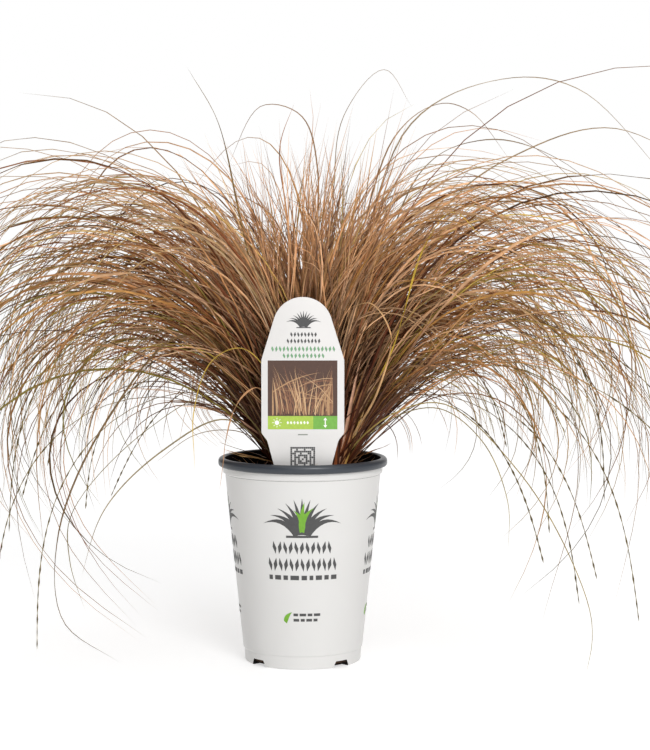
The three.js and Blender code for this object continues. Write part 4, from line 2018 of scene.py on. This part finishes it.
@dataclass
class Foliage:
    """The plant as it shows: each shoot with its blades, stalks and sheaths, and stray blades."""

    nursery: Nursery
    seed: int = 29
    finer_per_shoot: int = 80
    arching_per_shoot: int = 17
    root_shade_reach: Pair = (60.0, 215.0)  # how far up a blade its dark root fades: its own darker base, and painted shade deep in the clump
    sheath_root_shade_reach: float = 0.15  # the same dark root and painted shade on a sheath, as a share of its length
    wear_start: float = 0.3  # the share of its length from which a blade is weathered
    wear: float = 0.8
    width_share: Pair = (0.54, 1.42)  # of a blade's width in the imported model
    taper: float = 3.2  # the higher, the nearer to its tip a blade stays broad
    thickness: float = 0.42
    bend_per_ring: float = 8.5
    fewest_rings: int = 8
    most_rings: int = 22
    stray_rings: int = 44
    stray_root_shade_reach: float = 0.16  # the share of its length that a stray blade's dark root, with its painted shade, fades over
    buried: float = 14.0  # how far below its collar a blade starts
    twist: float = 50.0
    curled: float = 0.45  # the share of the blades that wind about themselves towards the tip
    curl: float = 2.2  # how many turns they make at most
    curl_start: float = 0.25  # the share of its length from which a blade winds
    waver: float = 2.1
    stalks_per_shoot: int = 1
    stalk_rings: int = 12
    stalk_radius: float = 0.36
    seeds: int = 18
    seeds_from: float = 0.55  # the share of its length from which a stalk bears seeds
    seed_radius: float = 0.58
    sheaths_per_shoot: int = 18
    sheath_sides: int = 6
    sheath_rings: int = 5
    sheath_length: Pair = (28.0, 90.0)
    sheath_radius: Pair = (1.0, 2.1)
    sheath_taper: float = 0.62
    sheath_flatness: float = 0.8
    spill: float = 3.0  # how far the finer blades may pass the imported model's box

    def colours(self, own: Array, shares: Array, reach: float, wear: float) -> Array:
        """A leaf's colours along its length: dark at the root, its own darker base with painted
        shade, and weathered at the tip.

        Args:
            own: Its own linear colour.
            shares: The shares of its length that have a ring.
            reach: The share of its length that the dark root colour, partly painted shade, fades
                over.
            wear: How weathered its tip is, from 0 to 1.

        Returns:
            A row for each ring.
        """
        root, tip = np.array(srgb(ROOT_AND_SHADE_TONE)), np.array(srgb(TIP_TONE))
        worn = wear * eased(clip01((shares - self.wear_start) / (1 - self.wear_start)))
        own = own + (tip - own) * worn[:, None]
        # Painted shade: the dark root colour reaches far up the blade, standing in for shade deep
        # in the clump.
        return root + (own - root) * eased(clip01(shares / reach))[:, None] ** 2

    def wing(self, blade: Blade) -> float:
        """How far out to a side a blade grows, from 0 to 1."""
        return 0.0 if blade.young else min(1.0, blade.outward) * abs(math.cos(blade.heading))

    def tint(self, blade: Blade, rng: Rng) -> Array:
        """Picks a blade's colour: its own tone, painted paler where it catches the light.

        Args:
            blade: The blade.
            rng: Where the draws come from.

        Returns:
            The linear colour.
        """
        wing = self.wing(blade)
        weights = np.array([lerp((tone.inner, tone.outer), wing) for tone in TONES])
        tone = TONES[rng.choice(len(TONES), p=weights / weights.sum())]
        colour = np.array(srgb(tone.colour)) * max(0.5, rng.normal(0.95, 0.2))
        # Painted light: blades that catch the light are painted paler towards straw.
        return colour + (np.array(srgb(PAINTED_LIGHT_TONE)) - colour) * blade.pale

    def blade_strand(self, blade: Blade, rng: Rng, breadth: float) -> Strand:
        """Shapes a blade.

        Args:
            blade: The blade.
            rng: Where the draws come from.
            breadth: How broad it is, from 0 for the narrowest to 1.

        Returns:
            The strand.
        """
        shares = blade.shares(self.bend_per_ring, self.fewest_rings, self.most_rings)
        width = lerp(self.width_share, breadth * (1 - blade.pale)) * blade.width
        # How far up this blade its dark root, partly painted shade, reaches.
        reach = lerp(self.root_shade_reach, rng.random()) / blade.length
        wear = self.wear * self.wing(blade)
        tints = self.colours(self.tint(blade, rng), shares, reach, wear)
        return self.leaf_strand(shares, self.run(blade, shares), width, tints, rng)

    def run(self, blade: Blade, shares: Array) -> Run:
        """How a blade runs, from deep in its stub.

        Args:
            blade: The blade.
            shares: The shares of its length that have a ring.

        Returns:
            Its centre line and its ways across and over, a row for each ring.
        """
        rooted = self.nursery.crown.rooted
        points = blade.centre_line(shares, rooted)
        along, across = blade.course(shares)
        points[0] -= along[0] * (self.buried - rooted)
        return points, across, np.cross(across, along)

    def leaf_strand(
        self, shares: Array, run: Run, width: float, tints: Array, rng: Rng
    ) -> Strand:
        """Shapes a leaf along a line, with a slight twist and waver.

        Args:
            shares: The shares of its length that have a ring.
            run: How it runs.
            width: Its greatest width.
            tints: Its linear colour at each ring.
            rng: Where the draws come from.

        Returns:
            The strand.
        """
        points, across, over = run
        phase, cycles = rng.random() * 2 * math.pi, 1.0 + 1.5 * rng.random()
        sway = self.waver * shares**1.5 * np.sin(phase + 2 * math.pi * cycles * shares)
        roll = math.radians(self.twist) * (0.4 * rng.normal() + rng.normal() * shares)
        turns = self.curl * rng.random() * (rng.random() < self.curled)
        roll += 2 * math.pi * turns * clip01((shares - self.curl_start) / (1 - self.curl_start))
        cos, sin = np.cos(roll)[:, None], np.sin(roll)[:, None]
        half = width / 2 * np.minimum(1, 0.6 + 2.5 * shares) * (1 - shares**self.taper)
        depth = self.thickness * (1 - 0.6 * shares)
        return Strand(
            sides=3,
            points=points + across * sway[:, None],
            across=across * cos + over * sin,
            over=over * cos - across * sin,
            half_widths=half / math.sin(math.pi / 3),
            depths=np.minimum(depth, half + 0.05),
            tints=tints,
        )

    def sheath_strand(self, blade: Blade, rng: Rng) -> Strand:
        """Shapes the sheath round the foot of a blade.

        Args:
            blade: The blade.
            rng: Where the draws come from.

        Returns:
            The strand.
        """
        height = lerp(self.sheath_length, rng.random())
        radius = lerp(self.sheath_radius, rng.random())
        shares = np.linspace(0, height / blade.length, self.sheath_rings + 1)
        even = np.linspace(0, 1, self.sheath_rings + 1)
        radii = radius * (1 - self.sheath_taper * even)
        colour = np.array(srgb(SHEATH_TONES[rng.integers(len(SHEATH_TONES))]))
        colour *= rng.normal(1.25, 0.2)
        tints = self.colours(colour, even, self.sheath_root_shade_reach, 0.0)
        section = (radii, radii * self.sheath_flatness)
        return Strand(self.sheath_sides, *self.run(blade, shares), *section, tints, 1)

    def stalk_strand(self, blade: Blade, rng: Rng) -> Strand:
        """Shapes a flower stalk: a thin stem with ripe seeds along its hanging end.

        Args:
            blade: How it grows.
            rng: Where the draws come from.

        Returns:
            The strand.
        """
        bare = np.linspace(0, self.seeds_from, self.stalk_rings)
        seeded = np.linspace(self.seeds_from, 1, 2 * self.seeds + 1)[1:]
        shares = np.concatenate([bare, seeded])
        seed = np.zeros(len(shares))
        seed[self.stalk_rings :: 2] = rng.uniform(0.2, 1.0, self.seeds)
        radii = self.stalk_radius * (1 - 0.4 * shares) + self.seed_radius * seed
        stem, ripe = np.array(srgb(STALK_TONE)), np.array(srgb(SEED_TONE))
        tints = self.colours(stem, shares, self.root_shade_reach[1] / blade.length, 0.0)
        tints = tints + (ripe - tints) * (seed > 0)[:, None]
        return Strand(3, *self.run(blade, shares), radii, radii, tints)

    def strays(self) -> Object:
        """Shapes the blades that hang apart from the rest.

        Returns:
            All of them as one piece.
        """
        rng = np.random.default_rng(self.seed)
        shares = np.linspace(0, 1, self.stray_rings + 1)
        strands = []
        for stray in STRAYS:
            points = stray.line(self.nursery.level, self.stray_rings)
            along = np.gradient(points, axis=0)
            along /= np.linalg.norm(along, axis=1, keepdims=True)
            across = np.cross(along, (0.0, 0.0, 1.0))
            across /= np.linalg.norm(across, axis=1, keepdims=True) + 1e-9
            tints = self.colours(np.array(srgb(stray.colour)), shares, self.stray_root_shade_reach, 0.0)
            run = (points, across, np.cross(across, along))
            strands.append(self.leaf_strand(shares, run, stray.width, tints, rng))
        mesh = strands_mesh("stray_blades", strands)
        return finish_piece(mesh, [FINISH.leaf], crease=50)

    def build(self) -> list[Object]:
        """Grows the plant and shapes each shoot.

        Returns:
            The stray blades, then a piece for each shoot.
        """
        nursery = self.nursery
        blades = nursery.grow()
        LOG.info("%d blades of the packed model", len(blades))
        box = np.array([list(corner) for corner in CAD_BOX]) / MM
        box += np.array([[-self.spill], [self.spill]])
        # Each kind's numbers start past those of the kind before, so that their draws differ.
        first = nursery.crown.per_shoot
        blades += nursery.fill_in(FINER, first, self.finer_per_shoot, box)
        blades += nursery.fill_in(ARCHING, 2 * self.finer_per_shoot, self.arching_per_shoot, box)
        LOG.info("%d blades in all", len(blades))
        stalks = nursery.fill_in(FLOWERING, 3 * self.finer_per_shoot, self.stalks_per_shoot, box)
        pieces = [self.strays()]
        for shoot in range(nursery.crown.shoots):
            rng = np.random.default_rng(self.seed + shoot)
            own = [blade for blade in blades if blade.shoot == shoot]
            strands = [self.blade_strand(blade, rng, rng.random() ** 1.5) for blade in own]
            strands += [self.stalk_strand(stalk, rng) for stalk in stalks if stalk.shoot == shoot]
            sheathed = own[:: max(1, len(own) // self.sheaths_per_shoot)]
            strands += [self.sheath_strand(blade, rng) for blade in sheathed]
            node = f"shoot_{shoot + 1:02d}"
            mesh = strands_mesh(f"sedge_{node}", strands)
            skins = [FINISH.leaf, FINISH.sheath]
            pieces.append(finish_piece(mesh, skins, [node], 50.0))
        return pieces


# ---------------- studio


@dataclass
class Studio:
    """A plain pale floor, soft light and the camera."""

    floor_size: float = 9.0
    sky: Pair = (0.42, 1.7)  # how bright it is at the horizon and overhead
    backdrop: float = 1.0
    key_power: float = 24.0
    key_size: float = 0.8  # in metres, as its place and its aim
    key_place: tuple[float, float, float] = (0.6, -1.85, 1.2)
    key_aim: tuple[float, float, float] = (0.0, 0.0, 0.2)
    camera_place: tuple[float, float, float] = (15.0, -1409.4, 293.4)
    camera_pitch: float = 4.075
    lens: float = 100.7

    def floor(self) -> None:
        """Lays the floor."""
        bm = bmesh.new()
        bmesh.ops.create_grid(bm, x_segments=1, y_segments=1, size=self.floor_size / 2)
        mesh = mesh_of(bm, "studio_floor", 1)
        mesh.materials.append(LitTable("studio_table_white", "c4c4c4", 0.9, 1.45).material())
        placed(mesh)

    def sky_light(self) -> None:
        """Lights the scene from all round: its sides are dark, but it looks white all over."""
        world = bpy.data.worlds.new("studio")
        world.use_nodes = True
        tree = world.node_tree
        tree.nodes.clear()
        place = add(tree, "TexCoord").outputs["Generated"]
        axes = add(tree, "SeparateXYZ", {"Vector": place}).outputs
        share = add(tree, "MapRange", {"Value": axes["X"], "From Min": -1.0}).outputs["Result"]
        stops = ((0.2, "1c1b1a"), (0.4, "ffffff"), (0.66, "ffffff"), (0.86, "6a6968"))
        sides = add(tree, "ValToRGB", {"Fac": share}, stops).outputs["Color"]
        height = {"Value": axes["Z"], "To Min": self.sky[0], "To Max": self.sky[1]}
        power = add(tree, "MapRange", height).outputs["Result"]
        open_sky = add(tree, "Background", {"Color": sides, "Strength": power})
        white = add(tree, "Background", {"Color": srgb("ffffff"), "Strength": self.backdrop})
        behind = {"Value": axes["Y"], "From Min": 0.85, "From Max": 0.95}
        limit = add(tree, "MapRange", behind).outputs["Result"]
        seen = {0: limit, 1: add(tree, "LightPath").outputs["Is Camera Ray"]}
        pale = add(tree, "Math", seen, operation="MAXIMUM").outputs[0]
        light = add(tree, "MixShader", {0: pale, 1: open_sky.outputs[0], 2: white.outputs[0]})
        add(tree, "OutputWorld", {"Surface": light.outputs["Shader"]})
        bpy.context.scene.world = world

    def key_light(self) -> None:
        """Hangs a square soft light in front, on the right."""
        data = bpy.data.lights.new("key_light", "AREA")
        data.size = self.key_size
        data.energy = self.key_power
        light = placed(data)
        light.location = Vector(self.key_place)
        way = Vector(self.key_aim) - light.location
        light.rotation_euler = way.to_track_quat("-Z", "Y").to_euler()

    def camera(self) -> None:
        """Sets the camera up."""
        data = bpy.data.cameras.new("camera")
        data.lens = self.lens
        camera = placed(data)
        camera.location = Vector(self.camera_place) * MM
        camera.rotation_euler = (math.radians(90 - self.camera_pitch), 0, 0)
        bpy.context.scene.camera = camera

    def build(self) -> None:
        """Sets up the floor, the lights and the camera."""
        bpy.context.scene.view_settings.view_transform = "Standard"
        self.floor()
        self.sky_light()
        self.key_light()
        self.camera()


# ---------------- the whole object


def main() -> None:
    """Builds every piece, then the studio."""
    logging.basicConfig(level=logging.INFO, format="%(name)s: %(message)s")
    pot, label = Pot(), Label()
    mix = PottingMix(pot)
    pot.build()
    PotPrint(pot).build()
    mix.build()
    label.build()
    Foliage(Nursery(Crown(), Growth(), pot, label, mix.level)).build()
    Studio().build()


if __name__ == "__main__":
    main()
